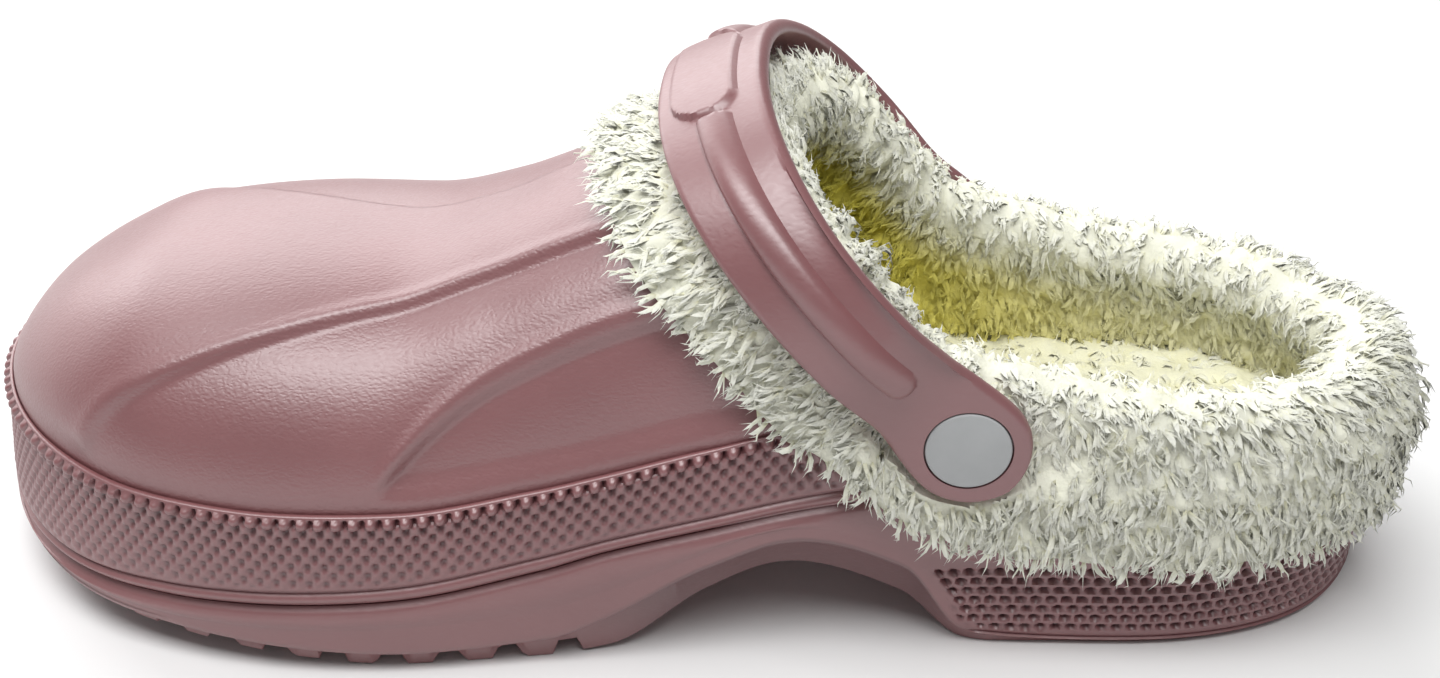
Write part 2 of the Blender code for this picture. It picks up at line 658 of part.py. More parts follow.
def lug_cutter():
    """The grooves between the forefoot's lugs: bars across the tread that narrow upwards."""
    shape = bmesh.new()
    for k in range(LUG_COUNT):
        middle = LUG_FIRST_X + k * LUG_PITCH
        roof = float(side["tread"](middle)) + LUG_DEPTH
        bar = bmesh.ops.create_cube(shape, size=1)["verts"]
        for vertex in bar:
            top = vertex.co.z > 0
            width = LUG_GROOVE * LUG_TAPER[top]
            height = roof if top else -LUG_DEPTH
            vertex.co = ((middle + width * vertex.co.x) * MM, LUG_SPAN * vertex.co.y * MM, height * MM)
    mesh = bpy.data.meshes.new("lug_grooves")
    shape.to_mesh(mesh)
    shape.free()
    return mesh


def main():
    for old in list(bpy.data.objects):
        bpy.data.objects.remove(old)
    parts = bpy.data.collections.new("fleece_clog")
    cutters = bpy.data.collections.new("cutters")
    for collection in (parts, cutters):
        bpy.context.scene.collection.children.link(collection)
    root = bpy.data.objects.new("shoe", None)
    axle = bpy.data.objects.new("strap_axis", None)
    axle.parent = root
    axle.location = (PIVOT_X * MM, 0, PIVOT_Z * MM)
    for empty in (root, axle):
        parts.objects.link(empty)

    body = Body(COLUMNS)
    sole = add_object("sole", make_sole(body), FOAM, root, parts)
    upper = add_object("upper", make_upper(body), FOAM, root, parts)
    add_object("fleece_insole", make_insole(body), FLEECE, root, parts)
    fur = add_object("fleece_collar", make_fur(body), FLEECE, root, parts)
    strap = add_object("heel_strap", make_strap(), FOAM, axle, parts)
    cut(sole, add_cutter("lug_grooves", lug_cutter(), root, cutters))
    for name, quarter_turn in (("lateral", 90), ("medial", -90)):
        rivet = turn(add_object("rivet_" + name, rivet_mesh("rivet_" + name, 0), BUTTON, axle, parts))
        bore = turn(add_cutter("bore_" + name, rivet_mesh("bore_" + name, GAP), axle, cutters))
        for turned in (rivet, bore):
            turned.rotation_euler.x = math.radians(quarter_turn)
        for piece in (upper, fur, strap):
            cut(piece, bore)

    # The origin is under the middle of the shoe's box.
    bpy.context.view_layer.update()
    corners = []
    for piece in parts.objects:
        if piece.data:
            corners += [piece.matrix_world @ vertex.co for vertex in piece.data.vertices]
    low, high = np.min(corners, axis=0), np.max(corners, axis=0)
    root.location = (-(low[0] + high[0]) / 2, -(low[1] + high[1]) / 2, -low[2])


main()
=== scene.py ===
import json
import math

import bmesh
import bpy
import numpy as np
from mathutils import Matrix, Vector


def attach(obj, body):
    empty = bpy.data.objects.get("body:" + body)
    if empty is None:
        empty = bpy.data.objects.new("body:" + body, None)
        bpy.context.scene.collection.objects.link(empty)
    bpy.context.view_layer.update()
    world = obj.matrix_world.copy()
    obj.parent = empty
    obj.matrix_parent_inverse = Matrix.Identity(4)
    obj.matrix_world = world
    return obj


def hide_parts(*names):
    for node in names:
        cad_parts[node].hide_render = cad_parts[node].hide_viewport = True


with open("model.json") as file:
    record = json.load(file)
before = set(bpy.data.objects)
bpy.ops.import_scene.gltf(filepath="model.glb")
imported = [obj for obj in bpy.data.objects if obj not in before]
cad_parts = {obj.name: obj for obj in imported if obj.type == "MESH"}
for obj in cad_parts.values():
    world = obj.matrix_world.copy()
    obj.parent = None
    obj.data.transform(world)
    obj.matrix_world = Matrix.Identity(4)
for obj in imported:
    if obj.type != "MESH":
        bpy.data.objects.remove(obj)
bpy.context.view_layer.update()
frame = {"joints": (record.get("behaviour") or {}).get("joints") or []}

# Camera, floor and lamps
# The shoe stands on a pale floor with a wide soft lamp behind it, and is seen from its outer side,
# from 30 degrees above the floor, through a lens of normal length that stands close by.
scene = bpy.context.scene
scene.view_settings.view_transform = "Standard"
VIEW_TARGET = Vector((0.005425, -0.001186, 0.0432))
VIEW_AHEAD = Vector((-0.0393, 0.8651, -0.5))
VIEW_DISTANCE = 0.363
LENS_MM, SENSOR_MM = 47.22, 36.0


def aim(name, data, place, target):
    """A lamp or camera at a place, turned so that it looks at a target with its top up."""
    item = bpy.data.objects.new(name, data)
    item.location = place
    item.rotation_euler = (Vector(target) - Vector(place)).to_track_quat("-Z", "Y").to_euler()
    scene.collection.objects.link(item)
    return item


camera = bpy.data.cameras.new("camera")
camera.lens = LENS_MM
camera.sensor_width = SENSOR_MM
camera.clip_start = 0.01
scene.camera = aim("camera", camera, VIEW_TARGET - VIEW_AHEAD * VIEW_DISTANCE, VIEW_TARGET)

# Each lamp: name, watts, width and height in metres, place
LAMPS = (
    ("behind", 11.3, 1.3, 0.8, (-0.36, 0.82, 0.60)),
    ("overhead", 11.2, 1.1, 0.5, (-0.10, -0.30, 0.96)),
    ("toe", 1.6, 0.6, 0.6, (-0.85, 0.45, 0.25)),
)
for name, watts, width, height, place in LAMPS:
    lamp = bpy.data.lights.new(name, "AREA")
    lamp.shape = "RECTANGLE"
    lamp.energy = watts
    lamp.size = width
    lamp.size_y = height
    aim(name, lamp, place, VIEW_TARGET)
world = bpy.data.worlds.new("studio")
world.use_nodes = True
world.node_tree.nodes["Background"].inputs["Color"].default_value = (1.0, 1.0, 1.0, 1)
world.node_tree.nodes["Background"].inputs["Strength"].default_value = 0.22
scene.world = world

FLOOR_HALF = 4.0
floor_mesh = bpy.data.meshes.new("floor")
floor_corners = [(-FLOOR_HALF, -FLOOR_HALF, 0), (FLOOR_HALF, -FLOOR_HALF, 0)]
floor_corners += [(FLOOR_HALF, FLOOR_HALF, 0), (-FLOOR_HALF, FLOOR_HALF, 0)]
floor_mesh.from_pydata(floor_corners, [], [(0, 1, 2, 3)])
floor = bpy.data.objects.new("floor", floor_mesh)
scene.collection.objects.link(floor)


def new_material(name, **sockets):
    """A material, its node tree and its shader, with values set on the shader's own sockets."""
    material = bpy.data.materials.new(name)
    material.use_nodes = True
    shader = material.node_tree.nodes["Principled BSDF"]
    for socket, value in sockets.items():
        shader.inputs[socket.replace("_", " ")].default_value = value
    return material, material.node_tree, shader


paper = new_material("white_paper", Base_Color=(0.78, 0.78, 0.78, 1), Roughness=0.9)[0]
floor_mesh.materials.append(paper)

# Sole
# One moulded piece of foam: a smooth wall with a rounded lower lip, lugs under the forefoot, an
# undercut waist and a heel block whose sides carry a recessed panel of small pits.
MM = 0.001
PIVOT = np.array([44.3, 0.0, 47.8])  # the rivets' axis in the frame of the tables below
SHIFT = np.array(frame["joints"][0]["pos_m"]) / MM - PIVOT


def table(names, *rows):
    """Columns of a table as functions of its first column x: cubics through the rows. The slope at a
    row is the harmonic mean of the slopes beside it, and nothing where the column turns there."""
    values = np.array(sorted(rows), float)
    xs, steps = values[:, 0], np.diff(values[:, 0])

    def column(ys):
        slopes = np.diff(ys) / steps
        tangents = np.concatenate([slopes[:1], np.zeros(len(xs) - 2), slopes[-1:]])
        before, after = slopes[:-1], slopes[1:]
        rising = before * after > 0
        tangents[1:-1][rising] = (2 * before * after)[rising] / (before + after)[rising]

        def at(x):
            x = np.clip(x, xs[0], xs[-1])
            k = np.clip(np.searchsorted(xs, x, side="right") - 1, 0, len(xs) - 2)
            t = (x - xs[k]) / steps[k]
            ends = ys[k] * (1 + 2 * t) * (1 - t) ** 2 + ys[k + 1] * t**2 * (3 - 2 * t)
            return ends + steps[k] * t * (1 - t) * (tangents[k] * (1 - t) - tangents[k + 1] * t)

        return at

    return {name: column(values[:, k + 1]) for k, name in enumerate(names.split())}


def ramp(t, start=0.0, end=1.0):
    """0 before the start, 1 after the end, and 3t^2 - 2t^3 between."""
    t = np.clip((t - start) / (end - start), 0, 1)
    return t * t * (3 - 2 * t)


def unit(vectors):
    return vectors / np.maximum(np.linalg.norm(vectors, axis=-1, keepdims=True), 1e-9)


def outline(heel, toe, *rows, steps=300):
    """A closed plan curve from the heel along the outer side to the toe and back, as cubic pieces
    whose slope at each point runs from the point before it to the point after it."""
    outer = [(x, y) for x, y, _ in rows]
    inner = [(x, y) for x, _, y in reversed(rows)]
    points = np.array([heel, *outer, toe, *inner], float)
    following = np.roll(points, -1, 0)
    chord = np.linalg.norm(following - points, axis=1)[:, None]
    tangent = (following - np.roll(points, 1, 0)) / (chord + np.roll(chord, 1, 0))
    t = (np.arange(steps) / steps)[None, :, None]
    leave, arrive = (tangent * chord)[:, None], (np.roll(tangent, -1, 0) * chord)[:, None]
    curve = points[:, None] * (1 + 2 * t) * (1 - t) ** 2 + following[:, None] * t**2 * (3 - 2 * t)
    return (curve + leave * t * (1 - t) ** 2 - arrive * t**2 * (1 - t)).reshape(-1, 2)


def stations(curve, turns):
    """Points of a plan curve at shares of the way round: 0 at the heel, 0.2 at the outer rivet, 0.5 at
    the toe and 0.8 at the inner rivet, evenly along the curve between those."""
    closed = np.vstack([curve, curve[:1]])
    along = np.concatenate([[0], np.cumsum(np.linalg.norm(np.diff(closed, axis=0), axis=1))])
    front = np.flatnonzero(curve[:, 0] < PIVOT[0])
    keys = along[[0, front[0], np.argmin(curve[:, 0]), front[-1] + 1, len(curve)]]
    places = np.interp(turns, [0, 0.2, 0.5, 0.8, 1], keys)
    return np.column_stack([np.interp(places, along, closed[:, axis]) for axis in (0, 1)])


PLAN = outline(
    (127, 0), (-140.5, 8),
    (121, -16, 16), (108, -28.5, 28.5), (88, -35.6, 35.6), (60, -37.4, 37.4), (30, -38.5, 37.8),
    (0, -42.5, 40.5), (-30, -46, 46), (-60, -50, 51.5), (-82, -49.5, 52.5), (-105, -43.5, 48),
    (-122.6, -30.5, 37), (-135.2, -12, 24),
)
# Heights along the side: tread, lower lip, split from sole to upper, fine line, rim of the band
side = table(
    "tread lip split strip rim",
    (-141.5, 8, 11, 13.2, 15.8, 37), (-121, 5.2, 8.4, 12.6, 15.4, 36.4),
    (-98, 3.6, 6.8, 13.2, 16.3, 35.3), (-76, 1.6, 5.2, 14.4, 17.6, 34.6),
    (-54, 0, 4, 15.8, 19.1, 34.7), (-30, 0, 5.4, 20.4, 23.8, 38), (-18, 1.2, 10, 24, 27, 40.7),
    (0, 10.5, 20, 28, 31, 45.2), (15, 14, 24.6, 31, 34, 48), (35, 8, 18, 33.3, 36.7, 46),
    (47, 0, 3.5, 34, 37.5, 43.5), (70, 0, 2, 34, 37.5, 41), (116, 0, 2, 34, 37.5, 40.5),
    (127, 1.2, 3, 34, 37.5, 40.5),
)
# In from the plan: the tread's edge and the undercut. Then the top of the recess in the side and its
# depth, how far the low side flares out, and the height of the footbed
under = table(
    "tread_in undercut_in step step_in flare footbed",
    (-141.5, 3.4, 2.8, 12, 0, 2.6, 11.8), (-120, 3.0, 2.4, 10, 0, 1.8, 11.8),
    (-98, 2.6, 2.2, 9, 0, 0, 12.2), (-36, 2.4, 2.0, 11, 0, 0, 17), (-18, 3.4, 3.0, 16, 0, 0, 19),
    (15, 9.0, 5.5, 27.5, 0, 0, 22.5), (36, 7.0, 4.0, 22, 0, 0, 23), (52, 2.2, 1.6, 19.7, 1.0, 0, 23),
    (127, 2.2, 1.6, 19.7, 1.0, 0, 23),
)
WALL, GAP, GROOVE = 3.2, 0.3, 1.2
LEDGE, LEDGE_TOE, LEDGE_REAR = 1.5, 0.8, 0.875
TOE_FADE, LEDGE_FADE = (-136.0, -108.0), (-8.0, 12.0)


class Round:
    """Columns round the shoe's widest line at shares of the way round: plan points, the directions out
    from them, the length along the line, where the vamp's foot and the wall's inside lie, and the levels
    of both tables."""

    def __init__(self, turns):
        self.turns = turns
        self.plan = stations(PLAN, turns)
        ahead = stations(PLAN, (turns + 0.001) % 1) - stations(PLAN, (turns - 0.001) % 1)
        self.out = unit(np.column_stack([-ahead[:, 1], ahead[:, 0]]))
        self.x = self.plan[:, 0]
        self.along = np.cumsum(np.linalg.norm(np.diff(self.plan, axis=0, prepend=self.plan[:1]), axis=1))
        self.foot = LEDGE_TOE + (LEDGE - LEDGE_TOE) * ramp(self.x, *TOE_FADE)
        self.foot += (LEDGE_REAR - LEDGE) * ramp(self.x, *LEDGE_FADE)
        self.inner = self.foot + WALL
        self.level = {name: at(self.x) for name, at in {**side, **under}.items()}

    def rings(self, insets, heights):
        """Rows of points: the plan drawn in by an inset for each row and column, at a height."""
        insets, heights = np.array(insets), np.array(heights)
        flat = self.plan - self.out * insets[..., None]
        return np.concatenate([flat, heights[..., None]], axis=-1)


def turns_for(spacing):
    """Shares of the way round, alike on both sides, with a spacing in millimetres that depends on x."""
    fine = np.linspace(0, 0.5, 4001)
    line = stations(PLAN, fine)
    steps = np.linalg.norm(np.diff(line, axis=0), axis=1) / spacing(line[1:, 0])
    total = np.concatenate([[0], np.cumsum(steps)])
    half = np.interp(np.linspace(0, total[-1], int(total[-1]) + 1), total, fine)
    return np.concatenate([half, 1 - half[-2:0:-1]])


def quads(rows, columns, wrap_rows=False, wrap_columns=True):
    """Corners of the quads between the points of a grid, row by row."""
    row = np.arange(rows if wrap_rows else rows - 1)[:, None]
    column = np.arange(columns if wrap_columns else columns - 1)[None]
    beside = (column + 1) % columns
    here, above = row * columns, (row + 1) % rows * columns
    corners = np.broadcast_arrays(here + column, here + beside, above + beside, above + column)
    return np.stack(corners, axis=-1).reshape(-1, 4)


def make_piece(name, points, *faces):
    """A mesh object at the origin, from points in millimetres and arrays of triangles or quads."""
    mesh = bpy.data.meshes.new(name)
    mesh.vertices.add(len(points))
    mesh.vertices.foreach_set("co", ((points + SHIFT) * MM).astype(np.float32).ravel())
    corners = np.concatenate([part.ravel() for part in faces]).astype(np.int32)
    sizes = np.concatenate([np.full(len(part), part.shape[1]) for part in faces])
    mesh.loops.add(len(corners))
    mesh.loops.foreach_set("vertex_index", corners)
    mesh.polygons.add(len(sizes))
    mesh.polygons.foreach_set("loop_start", (np.cumsum(sizes) - sizes).astype(np.int32))
    mesh.update(calc_edges=True)
    piece = bpy.data.objects.new(name, mesh)
    scene.collection.objects.link(piece)
    return piece


def seal(piece, sharp_degrees):
    """Closes seams and poles, turns the faces outwards and shades them smooth up to an angle."""
    shape = bmesh.new()
    shape.from_mesh(piece.data)
    bmesh.ops.remove_doubles(shape, verts=shape.verts, dist=1e-6)
    bmesh.ops.dissolve_degenerate(shape, edges=shape.edges, dist=1e-7)
    bmesh.ops.recalc_face_normals(shape, faces=shape.faces)
    shape.to_mesh(piece.data)
    shape.free()
    piece.data.shade_smooth()
    piece.data.set_sharp_from_angle(angle=math.radians(sharp_degrees))
    return piece


PIT_PITCH, PIT_ROW = 2.8, 2.1  # along the heel and between rows
PIT_FIRST, PIT_ROWS, PIT_DEEP = 4.4, 7, 1.4
PIT_SIZE = (0.86, 0.62)


def pits(along, down, pitch, row_pitch, size):
    """0 to 1 in pits that stand like bricks, each row half a pitch on from the last: a rounded
    bump of exp(-r^4), where r is the distance from the pit's middle over its half size."""
    row = np.round(down / row_pitch)
    place = along / pitch + 0.5 * (row % 2)
    right = (place - np.round(place)) * pitch / size[0]
    up = (down / row_pitch - row) * row_pitch / size[1]
    return np.exp(-np.hypot(right, up) ** 4), row


LUG_FIRST, LUG_PITCH, LUG_COUNT, LUG_DEEP = -122.0, 10.7, 10, 3.0
LUG_HALF = (2.75, 1.7)  # half a groove's width at the tread and at its roof


def lug(x):
    """Height of the groove between lugs: full near its middle line, falling straight to the tread."""
    number = np.clip(np.round((x - LUG_FIRST) / LUG_PITCH), 0, LUG_COUNT - 1)
    off = np.abs(x - LUG_FIRST - number * LUG_PITCH)
    return LUG_DEEP * np.clip((LUG_HALF[0] - off) / (LUG_HALF[0] - LUG_HALF[1]), 0, 1)


PANEL_FRONT, LUG_SPAN = 34, (-132, -14)  # finer columns: behind this for the pits, and over the lugs


def sole_spacing(x):
    lugs = (x > LUG_SPAN[0]) & (x < LUG_SPAN[1])
    return np.where(x > PANEL_FRONT, PIT_PITCH / 5, np.where(lugs, 1.1, 1.5))


around = Round(turns_for(sole_spacing))
level = around.level
flare, lip, step, split = (level[name] for name in ("flare", "lip", "step", "split"))
tread_edge = level["tread"] + lug(around.x)
PANEL_ROWS = np.linspace(0, 1, 40)[:, None]
panel_low, panel_high = lip + 1.6, step - 0.6
panel_z = panel_low + (panel_high - panel_low) * PANEL_ROWS
pit, pit_row = pits(around.along, panel_z - PIT_FIRST, PIT_PITCH, PIT_ROW, PIT_SIZE)
arch_edge = np.interp(panel_z, [3, 12, 20], [46.5, 42.5, 38.5])  # the panel's front at three heights
on_panel = ramp(around.x, arch_edge, arch_edge + 1.5) * (pit_row >= 0) * (pit_row < PIT_ROWS)
panel_in = level["step_in"] - flare + PIT_DEEP * pit * on_panel
WALL_ROWS = np.linspace(0, 1, 7)[:, None]
wall_low, wall_high = step + 0.5, split - GROOVE - 0.3
wall_z = wall_low + (wall_high - wall_low) * WALL_ROWS
wall_in = -flare - 0.35 * np.sin(math.pi * WALL_ROWS)
# Insets and heights up the side: the tread's rounded edge, the undercut, the lip, the panel of pits,
# the step, the wall, the groove under the band, and over to the footbed
below_panel = (
    (level["tread_in"] - flare + 0.9, tread_edge),
    (level["tread_in"] - flare + 0.25, tread_edge + 0.15),
    (level["tread_in"] - flare, tread_edge + 0.7),
    (level["undercut_in"] - flare, lip - 0.9),
    (level["undercut_in"] - flare - 0.5, lip - 0.5),
    (0.75 + level["step_in"] - flare, lip - 0.15),
    (0.3 + level["step_in"] - flare, lip + 0.3),
    (0.05 + level["step_in"] - flare, lip + 0.9),
)
sole_profile = (
    *below_panel,
    *zip(panel_in, panel_z),
    (level["step_in"] * 0.9 - flare, step - 0.25),
    (level["step_in"] * 0.4 - flare, step + 0.15),
    *zip(wall_in, wall_z),
    (0.12 - flare, split - GROOVE),
    (0.4 - flare, split - 0.75 * GROOVE),
    (GROOVE - flare, split - GAP / 2),
    (around.inner, split - GAP / 2),
    (around.inner, level["footbed"]),
)
sole_rings = around.rings(*zip(*sole_profile))


def cap(ring, height, across):
    """A surface over a closed ring: straight lines from each point to the one across the shoe, each
    point of them at a height that depends on x and on the share of the way across."""
    half = len(ring) // 2
    near, far = ring[: half + 1], np.roll(ring[::-1], 1, 0)[: half + 1]
    share = np.linspace(0, 1, across + 1)[:, None, None]
    points = near * (1 - share) + far * share
    points[1:-1, 1:-1, 2] = height(points[1:-1, 1:-1, 0], share[1:-1, :, 0])
    return points.reshape(-1, 3), quads(across + 1, half + 1, wrap_columns=False)


SIPE_DEEP, SIPE_PITCH, SIPE_FRONT, SIPE_REAR = 0.8, 9.0, (56, 58), (116, 118)


def tread_height(x, share):
    """The tread with its lugs, and fine grooves across the heel that fade out towards its edges."""
    sipes = SIPE_DEEP * ramp(np.cos(2 * math.pi * x / SIPE_PITCH), 0.6, 0.9)
    inside = ramp(0.5 - np.abs(share - 0.5), 0.04, 0.09) * ramp(x, *SIPE_FRONT) * (1 - ramp(x, *SIPE_REAR))
    return side["tread"](x) + lug(x) + sipes * inside


tread_points, tread_quads = cap(sole_rings[0], tread_height, 24)
bed_points, bed_quads = cap(sole_rings[-1], lambda x, share: under["footbed"](x), 6)
sole_points = sole_rings.reshape(-1, 3)
sole = make_piece(
    "sole_foam",
    np.vstack([sole_points, tread_points, bed_points]),
    quads(len(sole_rings), len(around.x)),
    tread_quads + len(sole_points),
    bed_quads + len(sole_points) + len(tread_points),
)


def set_attribute(piece, name, values):
    """A value for each of a piece's first points, and 0 for the rest, as an attribute."""
    column = np.zeros(len(piece.data.vertices), np.float32)
    column[: values.size] = values.ravel()
    piece.data.attributes.new(name, "FLOAT", "POINT").data.foreach_set("value", column)


# Painted shade: the pits of the heel panel are painted darker, and so are the lowest rows under the arch,
# where shadow falls
ARCH_SHADE, ARCH_FRONT, ARCH_REAR = 0.6, (-24, -4), (38, 47)
painted_shade = np.zeros(sole_rings.shape[:2])
first = len(below_panel)
painted_shade[first : first + len(PANEL_ROWS)] = pit * on_panel
painted_shade[:first] = ARCH_SHADE * ramp(around.x, *ARCH_FRONT) * (1 - ramp(around.x, *ARCH_REAR))
set_attribute(sole, "painted_shade", painted_shade)
seal(sole, 40)


def add_node(tree, kind, **settings):
    """A shader node with its sockets set by name, where spaces are written as underscores."""
    node = tree.nodes.new(kind)
    for name, value in settings.items():
        if name[0].isupper():
            node.inputs[name.replace("_", " ")].default_value = value
        else:
            setattr(node, name, value)
    return node


def colour_ramp(tree, *stops):
    """A ramp of colours, each stop given as its place and its red, green and blue."""
    node = add_node(tree, "ShaderNodeValToRGB")
    elements = node.color_ramp.elements
    for _ in stops[2:]:
        elements.new(0.5)
    for element, (place, *colour) in zip(elements, stops):
        element.position = place
        element.color = (*colour, 1)
    return node


def wire(tree, *wires):
    """Links between nodes, each given as a node, its output, the next node and its input."""
    for node, output, following, entry in wires:
        tree.links.new(node.outputs[output], following.inputs[entry])


def foam_finish(name, grain_size, grain_depth):
    """Moulded foam: a dusty pink that varies a little over centimetres, with painted shade that darkens it in
    pits and other shaded places by an attribute, and a leathery grain of cells of a given size in metres,
    long along the foot, as bump and uneven gloss."""
    material, tree, shader = new_material(name, Specular_IOR_Level=1.0, IOR=1.6)
    where = add_node(tree, "ShaderNodeTexCoord")
    clouds = add_node(tree, "ShaderNodeTexNoise", Scale=38.0, Detail=3.0)
    colours = colour_ramp(tree, (0.3, 0.205, 0.077, 0.081), (0.7, 0.232, 0.089, 0.093))
    # Painted shade: the attribute mixes the colour towards a deep red brown
    shade_attribute = add_node(tree, "ShaderNodeAttribute", attribute_name="painted_shade")
    shade = add_node(tree, "ShaderNodeMath", operation="MULTIPLY")
    shade.inputs[1].default_value = 0.9
    dark = add_node(tree, "ShaderNodeMixRGB", Color2=(0.07, 0.018, 0.021, 1))
    longer = add_node(tree, "ShaderNodeVectorMath", operation="MULTIPLY")
    longer.inputs[1].default_value = (0.65, 1, 1)
    warp = add_node(tree, "ShaderNodeTexNoise", Scale=0.45 / grain_size, Detail=2.0)
    grain = add_node(tree, "ShaderNodeTexVoronoi", feature="SMOOTH_F1", Scale=1 / grain_size, Randomness=1.0)
    bend = add_node(tree, "ShaderNodeVectorMath", operation="MULTIPLY_ADD")
    bend.inputs[1].default_value = (1.6 * grain_size,) * 3
    gloss = add_node(tree, "ShaderNodeMapRange", To_Min=0.36, To_Max=0.47)
    bump = add_node(tree, "ShaderNodeBump", Strength=1.0, Distance=grain_depth)
    wire(
        tree,
        (where, "Object", clouds, "Vector"), (clouds, "Fac", colours, "Fac"),
        (shade_attribute, "Fac", shade, 0), (shade, "Value", dark, "Fac"),
        (colours, "Color", dark, "Color1"), (dark, "Color", shader, "Base Color"),
        (where, "Object", longer, 0), (longer, "Vector", warp, "Vector"),
        (warp, "Color", bend, 0), (longer, "Vector", bend, 2), (bend, "Vector", grain, "Vector"),
        (grain, "Distance", gloss, "Value"), (gloss, "Result", shader, "Roughness"),
        (grain, "Distance", bump, "Height"), (bump, "Normal", shader, "Normal"),
    )
    return material


smooth_foam = foam_finish("smooth_foam", 0.0007, 0.00003)
sole.data.materials.append(smooth_foam)
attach(sole, "shoe")
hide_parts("sole")

# Side band of the upper
# The thick rim moulded round the foot of the vamp: a rounded lip, a row of beads under it, rows of
# knobs and pits like a chequerboard that grow shallow downwards, a fine line and a plain strip.
BAND_PITCH, BAND_ROW = 3.0, 1.85
KNOB_DEEP, KNOB_RAISE, BEAD_RAISE, BEAD_SIZE = 1.0, 0.35, 1.2, (1.25, 1.05)
BEAD_DOWN = 1.5  # from the rim to the middle of the row of beads
BAND_REAR = 24.0  # the fleece hides the band behind this


def band_spacing(x):
    return np.where(x < BAND_REAR + 6, BAND_PITCH / 6, 3.5)


around = Round(turns_for(band_spacing))
flare, split, strip, rim = (around.level[name] for name in ("flare", "split", "strip", "rim"))
BAND_ROWS = np.linspace(0, 1, 44)[:, None]
band_high, band_low = rim - 0.4, strip + 0.9
band_z = band_high + (band_low - band_high) * BAND_ROWS
below_bead = rim - BEAD_DOWN - band_z
chequer = np.cos(2 * math.pi * around.along / BAND_PITCH) * np.cos(math.pi * below_bead / BAND_ROW)
chequer = chequer * (below_bead > -BAND_ROW / 2)
seen = 1 - ramp(around.x, BAND_REAR - 4, BAND_REAR + 2)
FADE_PART, FADE_DOWN = 0.45, 15  # the knobs lose this share of their depth over this height
fading = seen * (1 - FADE_PART * np.clip(below_bead / FADE_DOWN, 0, 1)) * ramp(band_z - strip, 0.8, 2.2)
knob, pit = np.maximum(chequer, 0) ** 0.8 * fading, np.maximum(-chequer, 0) ** 0.8 * fading
place = around.along / BAND_PITCH
bead_far = np.hypot((place - np.round(place)) * BAND_PITCH / BEAD_SIZE[0], below_bead / BEAD_SIZE[1])
bead = BEAD_RAISE * np.sqrt(np.maximum(1 - bead_far**2, 0)) * seen
band_in = -flare * BAND_ROWS + KNOB_DEEP * pit - np.maximum(KNOB_RAISE * knob, bead)
STRIP_ROWS = np.linspace(0, 1, 4)[:, None]
strip_z = strip - 0.75 + (split + GROOVE + 0.2 - strip + 0.75) * STRIP_ROWS
strip_in = -flare - 0.2 * np.sin(math.pi * STRIP_ROWS)
RIM_CUT = 0.05  # the band stands this far off the vamp's wall
lip_in = np.minimum(around.foot, 3.0) / 3.0
# Insets and heights down the side: up behind the vamp's foot, over the lip, the knurled rows, the fine
# line, the strip and the groove over the sole
above_rows = (
    (around.foot - RIM_CUT, split + GAP / 2),
    (around.foot - RIM_CUT, rim - 1.0),
    ((around.foot - 0.1) * 0.98, rim - 0.45),
    (2.45 * lip_in, rim - 0.12),
    (1.9 * lip_in, rim),
    (1.2 * lip_in, rim + 0.02),
    (0.62 * lip_in, rim),
    (0.24 * lip_in, rim - 0.1),
    (0.06 * lip_in, rim - 0.25),
)
band_profile = (
    *above_rows,
    *zip(band_in, band_z),
    (0.25 - flare, strip + 0.5),
    (0.75 - flare, strip + 0.15),
    (0.75 - flare, strip - 0.1),
    (0.2 - flare, strip - 0.45),
    *zip(strip_in, strip_z),
    (0.15 - flare, split + 0.95 * GROOVE),
    (0.5 - flare, split + 0.6 * GROOVE),
    (GROOVE - flare, split + GAP / 2),
)
band_rings = around.rings(*zip(*band_profile))
band_quads = quads(len(band_rings), len(around.x), wrap_rows=True)
band = make_piece("side_band", band_rings.reshape(-1, 3), band_quads)
# Painted shade: the band's pits are painted darker
painted_shade = np.zeros(band_rings.shape[:2])
painted_shade[len(above_rows) : len(above_rows) + len(BAND_ROWS)] = pit
set_attribute(band, "painted_shade", painted_shade)
seal(band, 50)
band.data.materials.append(smooth_foam)
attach(band, "shoe")
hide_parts("upper")

# Vamp and heel wall of the upper
# A foam shell over the last, open at the collar and underneath, with a raised middle panel and a
# stepped-in side behind it on each flank, all moulded with a leathery grain.
COLLAR = outline(
    (122.5, 0), (6.5, 2),
    (110, -23, 23), (90, -33, 33), (65, -36, 36), (44, -36.8, 36.8), (36, -36.6, 36.6),
    (28, -35.2, 35.2), (20, -31, 31.5), (12, -22.5, 23.5),
)
collar_height = table(
    "z", (122.5, 45.5), (110, 45.6), (90, 46.5), (65, 50), (44, 57), (36, 62.5), (28, 72), (20, 80),
    (12, 84.5), (6.5, 86),
)["z"]
crest = table(
    "height across",
    (-138.5, 38.4, 8), (-134, 45.8, 7.5), (-127, 52.4, 7), (-117, 58.0, 6), (-101, 63.4, 5),
    (-78, 65.8, 4), (-58, 66.4, 3), (-40, 71.4, 2), (-26, 77.4, 2), (-11, 83, 2), (7, 86.3, 2),
    (44, 98, 0),
)
panel = table(
    "near far",
    (-112, -38.5, 33), (-97, -36.8, 21.5), (-81, -33.4, 13.5), (-56, -26.6, 5.5), (-38, -23.8, 3.5),
    (-22, -23, 5), (7, -22, 10),
)
flange = table(
    "z", (-60, 36.1), (-54, 43.1), (-47, 50), (-38.6, 55.9), (-30, 60.2), (-20, 64.6), (-5, 69.6),
    (20, 75.6),
)["z"]
OUTER_POWER, INNER_POWER, DOME_DROP, FRONT_TURNS = 2.7, 2.25, 0.4, (0.24, 0.34)
